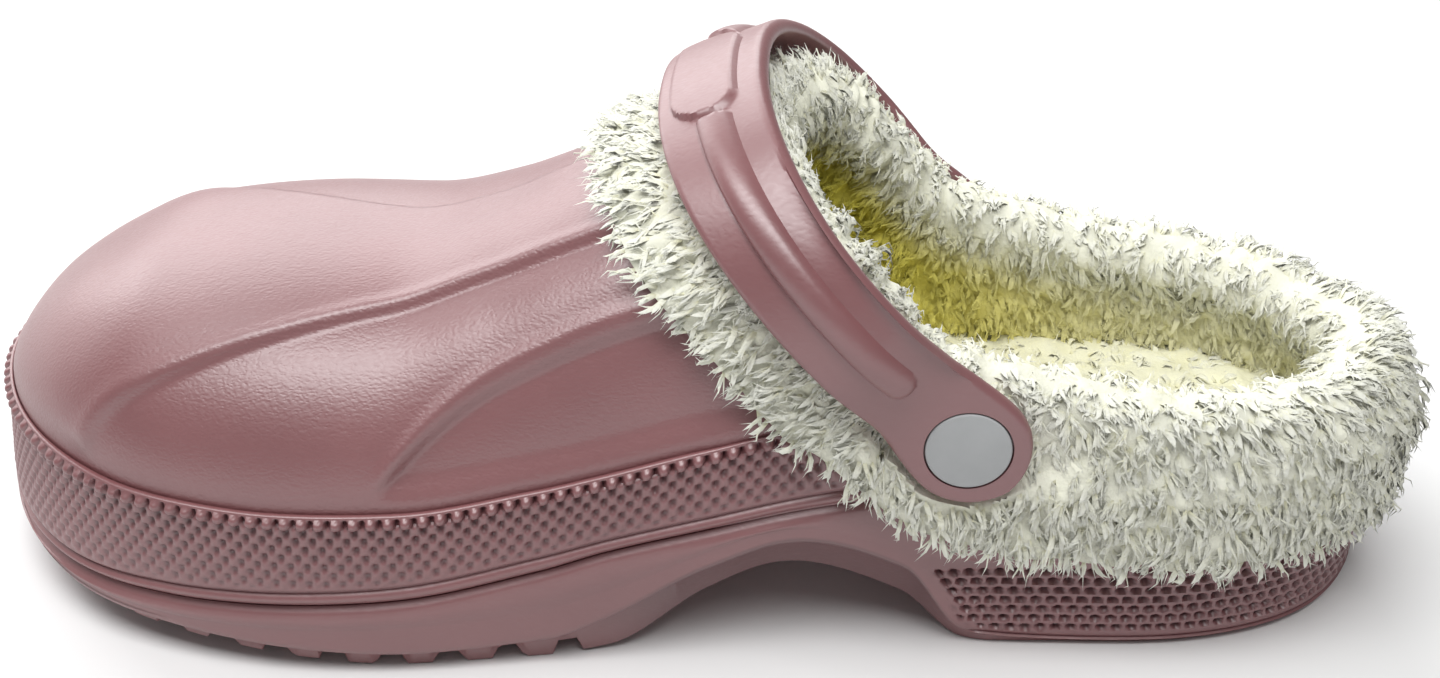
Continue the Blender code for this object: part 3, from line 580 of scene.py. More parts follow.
PANEL_RAISE, PANEL_FADE, FAR_SOFT, FAR_FADE = 1.4, (-130.0, -102.0), 20.0, (-112.0, -88.0)
LIP_FADE = (-119.0, -113.0)
FLANGE_STEP, FLANGE_FADE = 1.6, (-60.0, -53.0)
STEP_WIDTH, FLANGE_WIDTH, RELIEF_FADE = 2.0, 3.0, (1.0, 7.0)
LIP_HALF, PANEL_LIP, FLANGE_LIP = 1.5, 0.35, 0.7


def last_height(flat):
    """Height of the last over plan points: a section from side to side that is a rounded bow between
    the rims, under the crest line, of power 2.7 on the outer side and a little less on the inner."""
    foot = Round(np.linspace(0, 1, 720, endpoint=False))
    base = foot.plan - foot.out * foot.foot[:, None]
    outer, inner = base[360::-1], np.vstack([base[360:], base[:1]])
    x, y = flat[..., 0], flat[..., 1]
    middle = crest["across"](x)
    edges = [np.interp(x, run[:, 0], run[:, 1]) for run in (outer, inner)]
    edge = np.where(y < middle, edges[0], edges[1]) - middle
    part = np.clip((y - middle) / np.where(np.abs(edge) < 0.01, 0.01, edge), 0, 1)
    rim = side["rim"](x) - DOME_DROP
    power = np.where(y < middle, OUTER_POWER, INNER_POWER)
    return rim + (np.maximum(crest["height"](x), rim) - rim) * np.sqrt(1 - part**power)


def dome(columns, rows):
    """Rings of the shell from the rim to the collar, with normals. In front they rise over the last as
    a quarter circle in plan, and behind they run straight from the rim to the collar. At the rim, and
    where they run along it, the normals point level out."""
    base = columns.rings([columns.foot], [side["rim"](columns.x) - DOME_DROP])[0]
    edge = stations(COLLAR, columns.turns)
    top = collar_height(edge[:, 0])
    angle = np.linspace(0, math.pi / 2, rows)[:, None]
    front = 1 - ramp(np.abs(columns.turns - 0.5), *FRONT_TURNS)
    rounded, straight = 1 - np.cos(angle), angle / (math.pi / 2)
    inward = straight + (rounded - straight) * front
    flat = base[:, :2] + (edge - base[:, :2]) * inward[..., None]
    wall = base[:, 2] + (top - base[:, 2]) * straight
    vamp = last_height(flat)
    vamp = vamp + (top - vamp[-1]) * rounded**2
    rings = np.dstack([flat, wall + (vamp - wall) * front])
    up, ahead = unit(np.gradient(rings, axis=0)), unit(np.roll(rings, -1, 1) - np.roll(rings, 1, 1))
    across = np.cross(up, ahead)
    sure = ramp(np.linalg.norm(across, axis=-1, keepdims=True), 0.15, 0.4)
    sure = sure * ramp(straight, 0.02, 0.08)[..., None]
    level_out = np.column_stack([columns.out, np.zeros(len(columns.out))])
    return rings, unit(unit(across) * sure + level_out * (1 - sure))


def relief(rings):
    """How far the vamp stands out: the middle panel is raised and the rear flanks are stepped in, each
    with a soft step, which on the far side widens to nothing towards the toe, and a thin rounded lip."""
    x, y, z = np.moveaxis(rings, -1, 0)
    near, far = y - panel["near"](x), panel["far"](x) - y
    soft = STEP_WIDTH + FAR_SOFT * (1 - ramp(x, *FAR_FADE))
    raised = PANEL_RAISE * ramp(near, -STEP_WIDTH / 2, STEP_WIDTH / 2) * ramp(far, -soft / 2, soft / 2)
    lip = PANEL_LIP * np.exp(-(((near - LIP_HALF) / LIP_HALF) ** 2)) * ramp(x, *LIP_FADE)
    above = z - flange(x)
    lowered = FLANGE_STEP * (1 - ramp(above, -FLANGE_WIDTH, 0))
    lowered = lowered - FLANGE_LIP * np.exp(-(((above - LIP_HALF) / LIP_HALF) ** 2))
    out = raised * ramp(x, *PANEL_FADE) + lip - lowered * ramp(x, *FLANGE_FADE)
    return out * ramp(z - side["rim"](x), *RELIEF_FADE)


FRONT_HALF, FRONT_COLUMNS, REAR_COLUMNS, DOME_ROWS, INSIDE_ROWS = 0.31, 420, 50, 118, 14
front_turns = np.linspace(0.5 - FRONT_HALF, 0.5 + FRONT_HALF, FRONT_COLUMNS)
rear_turns = np.linspace(0.5 + FRONT_HALF, 1.5 - FRONT_HALF, REAR_COLUMNS)[1:-1] % 1
around = Round(np.sort(np.concatenate([front_turns, rear_turns])))
shell, shell_normal = dome(around, DOME_ROWS)
shell_out = shell + shell_normal * relief(shell)[..., None]
inside_rows = np.linspace(len(shell) - 1, 0, INSIDE_ROWS).astype(int)
shell_in = (shell - shell_normal * WALL)[inside_rows]
split, rim = side["split"](around.x), side["rim"](around.x)
foot_out = around.rings([around.foot, around.foot], [split + GAP / 2, rim - 2.0])
foot_in = around.rings([around.inner, around.inner], [rim - 0.9, split + GAP / 2])
vamp_rings = np.concatenate([foot_out, shell_out, shell_in, foot_in])
vamp_quads = quads(len(vamp_rings), len(around.x), wrap_rows=True)
vamp = make_piece("vamp", vamp_rings.reshape(-1, 3), vamp_quads)
# Painted shade: a darker line along the panel's far step, where its shadow falls
LINE_HALF, LINE_SHADE, LINE_FADE = 1.3, 0.3, (-104, -88)  # the darker line along the panel's far step
painted_shade = np.zeros(vamp_rings.shape[:2])
far_step_shade = np.exp(-(((shell[..., 1] - panel["far"](shell[..., 0])) / LINE_HALF) ** 2))
first = len(foot_out)
painted_shade[first : first + len(shell)] = LINE_SHADE * far_step_shade * ramp(shell[..., 0], *LINE_FADE)
set_attribute(vamp, "painted_shade", painted_shade)
seal(vamp, 60)
vamp.data.materials.append(foam_finish("grained_foam", 0.00048, 0.00006))
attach(vamp, "shoe")
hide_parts("upper")

# Fleece insole
# An insole board of foam sheet covered in short ivory pile, cut to the sole's cup and laid in it loose.
# It shows through the collar.
INSOLE_THICK, INSOLE_PLAY, INSOLE_ROUND = 5.0, 0.4, 1.2
random = np.random.default_rng(11)


def fleece_finish(name):
    """Pile: olive ivory at the roots, as painted shade deep in the pile, and ivory white at the tips, by the
    attribute that runs along each lock, with pale patches of a few millimetres, painted olive shade deep
    inside and no gloss."""
    material, tree, shader = new_material(name, Roughness=0.95, Specular_IOR_Level=0.1)
    where = add_node(tree, "ShaderNodeTexCoord")
    patches = add_node(tree, "ShaderNodeTexNoise", Scale=160.0, Detail=2.0)
    wool = add_node(tree, "ShaderNodeTexNoise", Scale=1100.0, Detail=3.0)
    fuzz = add_node(tree, "ShaderNodeBump", Strength=0.5, Distance=0.0005)
    reach = add_node(tree, "ShaderNodeAttribute", attribute_name="reach")
    shade = add_node(tree, "ShaderNodeMath", operation="MULTIPLY_ADD")
    shade.inputs[1].default_value = 0.5
    # Painted shade: the roots are a darker olive ivory than the tips
    colours = colour_ramp(
        tree, (0.2, 0.75, 0.735, 0.51), (0.55, 0.81, 0.81, 0.68), (1.0, 0.84, 0.845, 0.76),
    )
    # Painted shade: deep inside the collar the colour is multiplied towards olive
    painted_deep_shade = add_node(tree, "ShaderNodeAttribute", attribute_name="painted_deep_shade")
    olive = add_node(tree, "ShaderNodeMixRGB", blend_type="MULTIPLY", Color2=(0.95, 0.85, 0.18, 1))
    wire(
        tree,
        (where, "Object", patches, "Vector"), (patches, "Fac", shade, 0), (reach, "Fac", shade, 2),
        (shade, "Value", colours, "Fac"), (painted_deep_shade, "Fac", olive, "Fac"),
        (colours, "Color", olive, "Color1"), (olive, "Color", shader, "Base Color"),
        (where, "Object", wool, "Vector"), (wool, "Fac", fuzz, "Height"),
        (fuzz, "Normal", shader, "Normal"),
    )
    return material


def locks(roots, tips, bows, widths, shape, normals):
    """Closed tapering locks: flattened rings round root * (1 - a) + tip * a + bow * 4a(1 - a) at shares a
    of the length, each swelling to its own width, then the tip. Returns points, quads, triangles, end
    faces, the share of each point and the backing's normal there, as whole arrays over all locks."""
    corners, shares, swells, flatness = shape[0], np.array(shape[1]), np.array(shape[2]), shape[3]
    count, rings = len(roots), len(shares)
    a = shares[None, :, None]
    line = roots[:, None] * (1 - a) + tips[:, None] * a + bows[:, None] * 4 * a * (1 - a)
    way = unit(tips - roots)
    across = unit(np.cross(way, bows + way[:, [1, 2, 0]] * 0.01))
    over = np.cross(way, across) * flatness
    angle = 2 * math.pi * np.arange(corners) / corners
    spoke = across[:, None] * np.cos(angle)[None, :, None] + over[:, None] * np.sin(angle)[None, :, None]
    rims = line[:, :, None] + spoke[:, None] * (widths[:, None] * swells[None])[..., None, None]
    points = np.concatenate([rims.reshape(count, -1, 3), tips[:, None]], axis=1)
    stride = rings * corners + 1
    first = (np.arange(count) * stride)[:, None, None]
    last = (rings - 1) * corners + np.arange(corners)
    cone = np.column_stack([last, np.roll(last, -1), np.full(corners, stride - 1)])
    walls = (first + quads(rings, corners)[None]).reshape(-1, 4)
    cones = (first + cone[None]).reshape(-1, 3)
    ends = first[:, 0] + np.arange(corners)[::-1]
    reach = np.tile(np.concatenate([np.repeat(shares, corners), [1.0]]), count)
    return points.reshape(-1, 3), (walls, cones, ends), reach, np.repeat(normals, stride, axis=0)


def soft_noise(shape, down, along):
    """Noise of unit spread on a grid, smoothed a number of times down its columns and along its rows."""
    field = random.normal(0, 1, shape)
    for axis, times in ((0, down), (1, along)):
        for _ in range(times):
            field = (np.roll(field, 1, axis) + 2 * field + np.roll(field, -1, axis)) / 4
    return field / field.std()


def deep_shade_share(points):
    """How much painted olive shade the pile gets: more the lower it lies inside the collar, and most in
    front.
    """
    x, y, z = np.moveaxis(points, -1, 0)
    low = ramp(collar_height(x) - z, 0, 15)
    return low * (0.3 + 0.7 * (1 - ramp(x, 25, 100)))


def make_pile(name, parts, inside, fit=None):
    """A piece of pile from sets of locks, with the share along each lock and its painted olive shade as
    attributes.
    Its shading leans from each lock's own normals towards the backing's, as soft fibres scatter light."""
    points, sets, reach, soft = zip(*parts)
    starts = np.cumsum([0] + [len(part) for part in points])
    faces = [face + start for kinds, start in zip(sets, starts) for face in kinds]
    points = np.concatenate(points)
    points = fit(points) if fit else points
    piece = make_piece(name, points, *faces)
    set_attribute(piece, "reach", np.concatenate(reach))
    # Painted shade: the olive shade deep inside the collar, scaled by how much of it shows here
    set_attribute(piece, "painted_deep_shade", inside * deep_shade_share(points))
    piece.data.shade_smooth()
    own = np.empty(points.size, np.float32)
    piece.data.vertices.foreach_get("normal", own)
    shading = unit(OWN_SHADING * own.reshape(-1, 3) + (1 - OWN_SHADING) * np.concatenate(soft))
    piece.data.normals_split_custom_set_from_vertices(shading)
    piece.data.materials.append(fleece)
    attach(piece, "shoe")


def tufts(root, normal, way, length, thick, strands):
    """Tufts of pile: a soft core that arches away from the backing, and a few fine strands that start
    along its lower half and stray from its tip."""
    count = len(root)
    tip = root + way * length[:, None] + random.normal(0, CORE_STRAY, (count, 3))
    bow = normal * (CORE_BOW * length)[:, None] + random.normal(0, CORE_STRAY, (count, 3))
    cores = locks(root, tip, bow, thick * random.uniform(0.75, 1.25, count), CORE, normal)
    root, tip, bow, normal = (np.repeat(part, strands, axis=0) for part in (root, tip, bow, normal))
    count = len(root)
    start = root + (tip - root) * random.uniform(0.0, 0.5, (count, 1)) + bow * 0.7
    end = tip + normal * STRAND_LIFT + random.normal(0, STRAND_STRAY, (count, 3))
    bow = bow * 0.5 + random.normal(0, STRAND_BOW, (count, 3))
    return cores, locks(start, end, bow, random.uniform(*STRAND_HALF, count), STRAND, normal)


fleece = fleece_finish("ivory_fleece")
# Each kind of lock: sides, shares of the length with a ring, widths there, and thickness over width
CORE = (3, (0.0, 0.35, 0.75), (0.9, 1.1, 0.8), 0.85)
STRAND = (3, (0.0, 0.5), (1.0, 0.8), 1.0)
CORE_STRAY, CORE_BOW = 0.35, 0.16  # in millimetres, and as a share of the length
STRAND_LIFT, STRAND_STRAY, STRAND_BOW, STRAND_HALF = 0.3, 0.85, 0.4, (0.13, 0.23)
OWN_SHADING = 0.3  # the share of a lock's own normals in its shading

INSOLE_COLUMNS = 280
around = Round(np.linspace(0, 1, INSOLE_COLUMNS, endpoint=False))
footbed = under["footbed"](around.x)
edge, insole_top = around.inner + INSOLE_PLAY, footbed + INSOLE_THICK
insole_rings = around.rings(
    [edge, edge, edge + 0.4, edge + INSOLE_ROUND],
    [footbed + GAP, insole_top - INSOLE_ROUND, insole_top - 0.4, insole_top],
)
low_points, low_quads = cap(insole_rings[0], lambda x, share: under["footbed"](x) + GAP, 6)
ACROSS, INSOLE_LUMP = 60, 0.45
high_points, high_quads = cap(insole_rings[-1], lambda x, share: under["footbed"](x) + INSOLE_THICK, ACROSS)
high_grid = high_points.reshape(ACROSS + 1, -1, 3)
high_grid[1:-1, 1:-1, 2] += INSOLE_LUMP * soft_noise(high_grid.shape[:2], 3, 2)[1:-1, 1:-1]
insole_points = insole_rings.reshape(-1, 3)
insole = make_piece(
    "insole_board",
    np.vstack([insole_points, low_points, high_points]),
    quads(len(insole_rings), len(around.x)),
    low_quads + len(insole_points),
    high_quads + len(insole_points) + len(low_points),
)
seal(insole, 50)
# Painted shade: the board takes the darker colour of the pile's roots and a little of the olive shade
set_attribute(insole, "reach", np.full(len(insole.data.vertices), 0.2))
set_attribute(insole, "painted_deep_shade", np.full(len(insole.data.vertices), 0.1))
insole.data.materials.append(fleece)
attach(insole, "shoe")
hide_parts("fleece_insole")

# The tufts that show lie rather flat, all over the insole's rear but for a margin along its edge
# The insole's pile takes part of the painted olive shade deep inside the collar
INSOLE_TUFTS, INSOLE_SPAN, INSOLE_MARGIN, INSOLE_DEEP_SHADE = 1300, ((-30, -36), (122, 36)), 6, 0.35
TUFT_DEEP, TUFT_RISE, TUFT_LENGTH, TUFT_HALF, TUFT_STRANDS = 0.5, 0.12, (2.4, 3.8), 0.55, 1
spot = random.uniform(*INSOLE_SPAN, (4 * INSOLE_TUFTS, 2))
outer_side = around.plan[: INSOLE_COLUMNS // 2 + 1]
half = np.interp(spot[:, 0], *np.array(sorted(zip(outer_side[:, 0], -outer_side[:, 1]))).T)
spot = spot[np.abs(spot[:, 1]) < half - INSOLE_MARGIN][:INSOLE_TUFTS]
roots = np.column_stack([spot, under["footbed"](spot[:, 0]) + INSOLE_THICK - TUFT_DEEP])
upward = np.broadcast_to([0.0, 0.0, 1.0], roots.shape)
ways = unit(np.column_stack([random.normal(0.3, 0.7, (len(roots), 2)), np.full(len(roots), TUFT_RISE)]))
tuft_length = random.uniform(*TUFT_LENGTH, len(roots))
insole_tufts = tufts(roots, upward, ways, tuft_length, TUFT_HALF, TUFT_STRANDS)
make_pile("insole_pile", insole_tufts, INSOLE_DEEP_SHADE)

# Fleece collar
# Deep-pile fleece sewn over the collar: it hangs outside in fine tufts, rolls over the foam's edge and
# lines the inside down to the insole. The backing is one sleeve, and the pile grows out of it.
FUR_GAP, FUR_DROP, FUR_LIFT, RIM_ROUND = 1.1, 22.0, 0.3, 1.6
fur = table(
    "skirt lining roll",
    (6.5, 28, 16, 7.5), (20, 28.5, 17, 6.5), (36, 28, 22, 6.5), (44, 31, 28, 6.5), (65, 28, 60, 6.5),
    (112, 26.5, 60, 6.5), (122, 28, 60, 6.2),
)
STRAP_LEAN, STRAP_SWING, STRAP_THICK = 47.5, 108.0, 3.4
STRAP_HALF_SPAN, STRAP_BULGE, STRAP_SHOULDER, STRAP_REACH, STRAP_POWER = 42.5, 46.8, 28.0, 67.0, 2.3
STRAP_TILT, STRAP_HALF_WIDTH = 0.39, 9.2
HEAD_RADIUS, HEAD_FLAT, SWING_ROOM, SWING_SIDE, PRESS = 11.0, 9.0, 0.4, 1.0, 2.0


def hoop_span(reach):
    """Half the span of the strap's middle layer at a distance from the rivets' axis: flat heads, arms
    that bow out to the shoulders, and a rounded top of power 2.3."""
    arm = STRAP_HALF_SPAN + (STRAP_BULGE - STRAP_HALF_SPAN) * ramp(reach, HEAD_FLAT, STRAP_SHOULDER)
    above = np.clip((reach - STRAP_SHOULDER) / (STRAP_REACH - STRAP_SHOULDER), 0, 1)
    return np.where(above > 0, STRAP_BULGE * (1 - above**STRAP_POWER) ** (1 / STRAP_POWER), arm)


def clear_of_strap(points, deeper=0.0):
    """Presses pile in to the inside of the swinging strap, wherever its arms and its top pass: the last
    millimetres before the strap fill up as 1 - exp(-t). Above the shoulders the strap's inside is a
    rounded arch of power 2.3, whose roof slopes with the band's tilt."""
    forward, up = PIVOT[0] - points[..., 0], points[..., 2] - PIVOT[2]
    reach = np.maximum(np.hypot(forward, up), 0.1)
    angle = (np.degrees(np.arctan2(up, forward)) + 90) % 360 - 90
    half = np.where(reach > STRAP_SHOULDER, STRAP_HALF_WIDTH, HEAD_RADIUS) + SWING_SIDE
    spread = np.degrees(np.arcsin(np.clip(half / reach, 0, 1)))
    swept = (angle > STRAP_LEAN - spread) & (angle < STRAP_LEAN + STRAP_SWING + spread)
    nearest = np.sqrt(np.maximum(reach**2 - HEAD_RADIUS**2, 0))
    inset = STRAP_THICK / 2 + SWING_ROOM + deeper
    room = np.minimum(hoop_span(nearest), hoop_span(reach + STRAP_THICK / 2)) - inset
    beside = (swept & (reach < STRAP_SHOULDER)) | (reach < HEAD_RADIUS + SWING_SIDE)
    limit = np.where(beside, room, np.inf)
    over = np.maximum(np.abs(points[..., 1]) - limit + PRESS, 0)
    y = points[..., 1] - np.sign(points[..., 1]) * (over - PRESS * (1 - np.exp(-over / PRESS)))
    across = np.minimum(reach * np.sin(np.radians(angle - STRAP_LEAN)), STRAP_HALF_WIDTH)
    roof = STRAP_REACH - inset - STRAP_TILT * across - STRAP_SHOULDER
    rise = np.maximum(reach - STRAP_SHOULDER, 0)
    fill = (rise / roof) ** STRAP_POWER + np.abs(y / (STRAP_BULGE - inset)) ** STRAP_POWER
    fill = np.maximum(fill, 1e-6) ** (1 / STRAP_POWER)
    share = PRESS / STRAP_BULGE
    over = np.maximum(fill - 1 + share, 0)
    shrink = np.where(swept & (rise > 0), (fill - over + share * (1 - np.exp(-over / share))) / fill, 1)
    drawn = (np.minimum(reach, STRAP_SHOULDER) + rise * shrink) / reach
    return np.stack([PIVOT[0] - forward * drawn, y * shrink, PIVOT[2] + up * drawn], axis=-1)


def walk(points, normals, lengths):
    """Places, and normals there, at given lengths along a path of rings down each column."""
    steps = np.linalg.norm(np.diff(points, axis=0), axis=-1)
    along = np.vstack([np.zeros(points.shape[1]), np.cumsum(steps, axis=0)])
    row = np.clip((along[None] <= lengths[:, None]).sum(axis=1) - 1, 0, len(points) - 2)
    column = np.arange(points.shape[1])[None]
    part = (lengths - along[row, column]) / np.maximum(along[row + 1, column] - along[row, column], 1e-6)
    part = np.clip(part, 0, 1)[..., None]
    place = points[row, column] * (1 - part) + points[row + 1, column] * part
    return place, unit(normals[row, column] * (1 - part) + normals[row + 1, column] * part)


COLLAR_COLUMNS = 480
around = Round(np.linspace(0, 1, COLLAR_COLUMNS, endpoint=False))
shell, shell_normal = dome(around, 40)
shell_out = shell + shell_normal * relief(shell)[..., None]
flat_out = np.column_stack([around.out, np.zeros(COLLAR_COLUMNS)])[None]
split, rim = side["split"](around.x), side["rim"](around.x)
zero = np.zeros(COLLAR_COLUMNS)
outer = np.concatenate([
    shell_out[::-1], around.rings([zero, zero, zero], [rim - RIM_ROUND, split, split - FUR_DROP]),
])
outer_normal = np.concatenate([shell_normal[::-1], np.repeat(flat_out, 3, 0)])
bed = under["footbed"](around.x) + INSOLE_THICK + FUR_LIFT
inner = np.concatenate([
    (shell - shell_normal * WALL)[::-1], around.rings([around.inner, around.inner], [rim - 0.9, bed]),
])
inner_normal = -np.concatenate([shell_normal[::-1], np.repeat(flat_out, 2, 0)])
edge_x = stations(COLLAR, around.turns)[:, 0]
skirt, lining, roll = (fur[name](edge_x) for name in ("skirt", "lining", "roll"))
room = np.linalg.norm(np.diff(inner, axis=0), axis=-1).sum(axis=0)
OUT_ROWS, BRIM_ROWS, IN_ROWS = 36, 9, 36
hangs = np.linspace(1, 0.03, OUT_ROWS)
lines = np.linspace(0.03, 1, IN_ROWS)
out_place, out_normal = walk(outer, outer_normal, np.outer(hangs, skirt))
in_place, in_normal = walk(inner, inner_normal, np.outer(lines, np.minimum(lining, room)))
rise = unit(shell[-1] - shell[-2])
turn = np.radians(np.linspace(12, 168, BRIM_ROWS))[:, None, None]
brim = unit(shell_normal[-1] * np.cos(turn) + rise * np.sin(turn))
over = np.linspace(0, 1, BRIM_ROWS)[:, None, None]
place = np.concatenate([out_place, outer[0] * (1 - over) + inner[0] * over, in_place])
normal = np.concatenate([out_normal, brim, in_normal])
depth = np.concatenate([
    np.interp(hangs, [0, 0.22, 0.45, 0.7, 1], [1, 0.9, 0.8, 0.7, 0.5]), np.ones(BRIM_ROWS),
    np.interp(lines, [0, 0.3, 0.65, 1], [1, 0.75, 0.6, 0.5]),
])[:, None] * roll
# The strap lies on the outer side of the brim and keeps it low there
PRESSED, PRESSED_AT, PRESSED_HALF = 0.55, 34.0, 15.0
low_brim = 1 - PRESSED * np.exp(-(((edge_x - PRESSED_AT) / PRESSED_HALF) ** 2)) * (around.turns < 0.5)
pressing = 1 + (low_brim - 1) * ramp(np.arange(len(depth))[:, None], OUT_ROWS - 9, OUT_ROWS)
depth = depth * pressing
back = place + normal * FUR_GAP
SLEEVE_PART, LUMP = 0.7, 0.55  # the sleeve's share of the pile's depth, and its lumps
SLEEVE_DEEPER = 1.1  # the sleeve under the strap, below the pile there
lumps = LUMP * np.clip(soft_noise(depth.shape, 5, 3), -2, 2)
sleeve = clear_of_strap(back + normal * (depth * SLEEVE_PART + lumps)[..., None], SLEEVE_DEEPER)
backing_rings = np.concatenate([sleeve, back[::-4]])
backing = make_piece(
    "fleece_backing", backing_rings.reshape(-1, 3), quads(len(backing_rings), COLLAR_COLUMNS, wrap_rows=True),
)
# Painted shade: the sleeve takes the darker colour of the pile's roots, and inside the collar the olive shade
inner_rows = ramp(np.arange(len(sleeve)), OUT_ROWS + 3, OUT_ROWS + BRIM_ROWS)[:, None]
set_attribute(backing, "painted_deep_shade", inner_rows * deep_shade_share(sleeve))
seal(backing, 70)
set_attribute(backing, "reach", np.full(len(backing.data.vertices), 0.35))
backing.data.materials.append(fleece)
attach(backing, "shoe")
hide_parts("fleece_collar")

# Along the pile's rows, from the skirt's edge over the brim to the lining's edge: how far the locks
# lean down the slope, and their length
row_count = len(sleeve)
BRIM_ROW = OUT_ROWS + BRIM_ROWS // 2
row_keys = [0, 8, OUT_ROWS - 2, BRIM_ROW, OUT_ROWS + BRIM_ROWS + 2, row_count - 1]
row_lean = np.interp(np.arange(row_count), row_keys, [1.1, 1.0, 1.0, 0.8, 1.0, 0.9])
row_length = np.interp(np.arange(row_count), row_keys, [3.8, 4.3, 4.0, 3.6, 3.6, 3.7])
slope = np.gradient(back, axis=0)
slope[:BRIM_ROW] *= -1
slope = unit(slope)


def sow(rows, count):
    """A random spot in each cell of an even net over the sleeve between two rows: root, normal, direction
    down the slope, direction along the collar, lean and length of the pile, and a swirl to one side."""
    first, last = rows
    wide = np.linalg.norm(np.roll(sleeve, -1, 1)[first:last] - sleeve[first:last], axis=-1)
    high = np.linalg.norm(sleeve[first + 1:last + 1] - sleeve[first:last], axis=-1)
    lanes = max(1, round(math.sqrt(count * high.sum(0).mean() / wide.sum(1).mean())))
    spot, jitter = np.arange(count), random.random((2, count))
    shares = ((spot % lanes + jitter[0]) / lanes, (spot // lanes + jitter[1]) / math.ceil(count / lanes))
    areas = [np.concatenate([[0], np.cumsum((wide * high).sum(axis))]) for axis in (1, 0)]
    row, column = (
        np.interp(share, area / area[-1], np.arange(len(area))) for share, area in zip(shares, areas)
    )
    fr, fc = (row % 1)[:, None], (column % 1)[:, None]
    row, column = first + row.astype(int), column.astype(int) % COLLAR_COLUMNS
    beside = (column + 1) % COLLAR_COLUMNS

    def at(grid):
        grid = grid if grid.ndim == 3 else grid[..., None]
        near = grid[row, column] * (1 - fc) + grid[row, beside] * fc
        return near * (1 - fr) + (grid[row + 1, column] * (1 - fc) + grid[row + 1, beside] * fc) * fr

    whole = [values[:, None] * pressing for values in (row_lean, row_length)]
    turn = (column + fc[:, 0]) / COLLAR_COLUMNS * 2 * math.pi
    swirl = 0.5 * np.sin(31 * turn + row * 0.35) + 0.4 * np.sin(53 * turn - row * 0.5)
    along = unit(at(np.roll(sleeve, -1, 1) - np.roll(sleeve, 1, 1)))
    n, s = unit(at(normal)), unit(at(slope))
    return at(sleeve) - n * ROOT_DEEP, n, s, along, at(whole[0]), at(whole[1])[:, 0], swirl[:, None]


ROOT_DEEP, STRANDS = 0.6, 3  # the tufts' roots under the sleeve's face, and the strands of each
# Each area of pile: name, rows of the sleeve, tufts, half width of their cores, their rise off the
# sleeve, and how much of the painted olive shade shows. The tufts lean down the slope and swirl to either
# side
AREAS = (
    ("fleece_fringe", (0, 20), 2100, 0.52, 0.28, 0.0),
    ("fleece_cuff", (16, BRIM_ROW), 2100, 0.55, 0.22, 0.0),
    ("fleece_brim", (OUT_ROWS - 2, OUT_ROWS + BRIM_ROWS + 6), 1900, 0.56, 0.18, 0.4),
    ("fleece_lining", (OUT_ROWS + BRIM_ROWS + 2, row_count - 1), 2000, 0.6, 0.24, 1.0),
)
for name, rows, count, thick, lift, inside in AREAS:
    root, n, s, along, lean, length, swirl = sow(rows, count)
    way = unit(n * lift + s * lean + along * (0.6 * swirl + random.normal(0, 0.4, (count, 1))))
    length = length * random.uniform(0.75, 1.25, count)
    make_pile(name, tufts(root, n, way, length, thick, STRANDS), inside, clear_of_strap)

# Heel strap
# A firm moulded hoop of the same foam on two rivets, with a raised blank pad over its top, a round rib
# down each arm and a sunk flange along its rear. Its heads are bored for the rivets' heads.
STRAP_EDGE, HEAD_TAPER = 1.1, 16.0
PAD_HALF_LENGTH, PAD_MIDDLE, PAD_HALF_WIDTH, PAD_RAISE = 17.6, -0.5, 5.8, 1.2
PAD_CORNER, PAD_SLOPE = 5.6, 0.8
RIB_FROM, RIB_MIDDLE, RIB_HALF_WIDTH, RIB_RAISE = 17.0, 0.5, 2.9, 1.9
RIB_GAP = 0.7  # between the pad's end and the rib
FLANGE_SINK, FLANGE_SPAN, FLANGE_FROM, FLANGE_TO = 1.2, (2.4, 8.0), (9, 18), (50, 64)
quarter = np.linspace(0, math.pi / 2, 130)[:-1]
reaches = np.concatenate([
    -HEAD_RADIUS * np.cos(np.linspace(0, math.pi / 2, 26))[:-1],
    np.linspace(0, STRAP_SHOULDER, 44)[:-1],
    STRAP_SHOULDER + (STRAP_REACH - STRAP_SHOULDER) * np.sin(quarter) ** (2 / STRAP_POWER),
])
half_path = np.column_stack([hoop_span(reaches), reaches])
path = np.vstack([half_path * (-1, 1), [(0, STRAP_REACH)], half_path[::-1]])
tangent = unit(np.gradient(path, axis=0))
outward = np.column_stack([-tangent[:, 1], tangent[:, 0]])
length = np.concatenate([[0], np.cumsum(np.linalg.norm(np.diff(path, axis=0), axis=1))])
from_top = np.abs(length - length[-1] / 2)
rib_end = np.interp(RIB_FROM, reaches, from_top[: len(reaches)])
reach = path[:, 1]
half_width = np.sqrt(np.maximum(HEAD_RADIUS**2 - np.minimum(reach, 0) ** 2, 0))
half_width = np.maximum(half_width + (STRAP_HALF_WIDTH - HEAD_RADIUS) * ramp(reach, 0, HEAD_TAPER), 0.001)

# The section: the outer face, a rounded edge, the inner face and the other edge
face = np.linspace(-1, 1, 41)
bend = np.linspace(0, math.pi, 9)[1:-1]
across = np.concatenate([face, 1 + 0 * bend, -face[::5], -1 - 0 * bend])
swell = np.concatenate([0 * face, np.sin(bend), 0 * face[::5], np.sin(bend)])
out = np.concatenate([1 + 0 * face, np.cos(bend), -1 + 0 * face[::5], -np.cos(bend)])
rounding = np.minimum(STRAP_EDGE, half_width * 0.9)[:, None]
w = across * (half_width[:, None] - rounding) + np.sign(across) * swell * rounding
is_face = np.arange(len(across)) < len(face)
past = np.maximum(from_top[:, None] - PAD_HALF_LENGTH + PAD_CORNER, 0)
aside = np.maximum(np.abs(w - PAD_MIDDLE) - PAD_HALF_WIDTH + PAD_CORNER, 0)
pad_inside = PAD_CORNER - np.hypot(past, aside)
pad = PAD_RAISE * ramp(pad_inside, 0, PAD_SLOPE)
